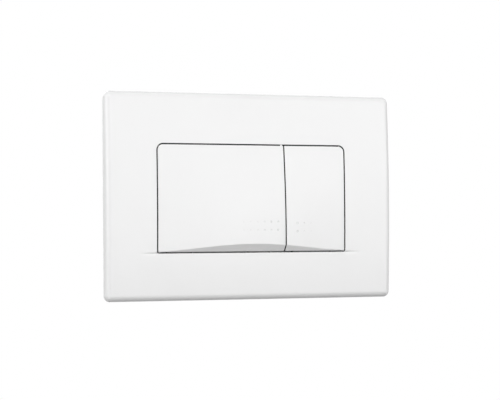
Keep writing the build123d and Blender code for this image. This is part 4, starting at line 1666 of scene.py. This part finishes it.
class FLUSHPLATE_OT_push_rods(Operator):
    """Build the push rods with their heads, nuts and clips"""

    bl_idname = "flushplate.push_rods"
    bl_label = "Push rods"

    def execute(self, context):
        works = context.scene.flush_plate_works
        for which in SIDES:
            make_push_rod(works, which, rod_plastic)
            make_push_head(which, grey_plastic)
            make_lock_nut(which, rod_plastic)
            make_rod_clip(which, stainless)
        return {"FINISHED"}


class FLUSHPLATE_OT_guides_and_springs(Operator):
    """Build the rod guides and the return springs"""

    bl_idname = "flushplate.guides_and_springs"
    bl_label = "Guides and springs"

    def execute(self, context):
        works = context.scene.flush_plate_works
        for which in SIDES:
            make_rod_guide(which, grey_plastic)
            make_return_spring(works, which, stainless)
        return {"FINISHED"}


class FLUSHPLATE_OT_fixings(Operator):
    """Build the fixing bolts and washers"""

    bl_idname = "flushplate.fixings"
    bl_label = "Fixings"

    def execute(self, context):
        make_fixing_bolts(context.scene.flush_plate_works, grey_plastic)
        make_fixing_washers(zinc_steel)
        return {"FINISHED"}


class FLUSHPLATE_OT_buffers(Operator):
    """Build the rubber buffers on the stop posts"""

    bl_idname = "flushplate.buffers"
    bl_label = "Buffers"

    def execute(self, context):
        for which in SIDES:
            make_buffers(which, buffer_rubber)
        return {"FINISHED"}


class FLUSHPLATE_OT_stage(Operator):
    """Set up the floor, the light and the camera"""

    bl_idname = "flushplate.stage"
    bl_label = "Stage"

    def execute(self, context):
        studio = context.scene.flush_plate_studio
        context.scene.view_settings.view_transform = "Standard"
        make_floor(studio)
        make_world(studio)
        for name, place, size, power in LAMPS:
            make_lamp(name, place, size, getattr(studio, power))
        make_camera(studio)
        return {"FINISHED"}


BUILDERS = (
    FLUSHPLATE_OT_cover_plate,
    FLUSHPLATE_OT_buttons,
    FLUSHPLATE_OT_mounting_frame,
    FLUSHPLATE_OT_hinge,
    FLUSHPLATE_OT_push_rods,
    FLUSHPLATE_OT_guides_and_springs,
    FLUSHPLATE_OT_fixings,
    FLUSHPLATE_OT_buffers,
    FLUSHPLATE_OT_stage,
)
SETTINGS = {
    "flush_plate_front": FlushPlateFront,
    "flush_plate_dots": FlushPlateDots,
    "flush_plate_works": FlushPlateWorks,
    "flush_plate_finish": FlushPlateFinish,
    "flush_plate_studio": FlushPlateStudio,
}


class FLUSHPLATE_PT_sidebar(Panel):
    """Lists what can be built and the settings"""

    bl_label = "Flush plate"
    bl_idname = "FLUSHPLATE_PT_sidebar"
    bl_space_type = "VIEW_3D"
    bl_region_type = "UI"
    bl_category = "Flush plate"

    def draw(self, context):
        for builder in BUILDERS:
            self.layout.operator(builder.bl_idname)
        for name, group in SETTINGS.items():
            box = self.layout.box()
            for field in group.__annotations__:
                box.prop(getattr(context.scene, name), field)


def register():
    """Make the settings, operators and panel known to Blender."""
    for group in SETTINGS.values():
        bpy.utils.register_class(group)
    for name, group in SETTINGS.items():
        setattr(bpy.types.Scene, name, PointerProperty(type=group))
    for part in (*BUILDERS, FLUSHPLATE_PT_sidebar):
        bpy.utils.register_class(part)


def unregister():
    """Take the panel, operators and settings away again."""
    for part in (FLUSHPLATE_PT_sidebar, *reversed(BUILDERS)):
        bpy.utils.unregister_class(part)
    for name in SETTINGS:
        delattr(bpy.types.Scene, name)
    for group in SETTINGS.values():
        bpy.utils.unregister_class(group)


def main():
    """Build every piece and the stage."""
    register()
    for builder in BUILDERS:
        family, name = builder.bl_idname.split(".")
        getattr(getattr(bpy.ops, family), name)()


if __name__ == "__main__":
    main()
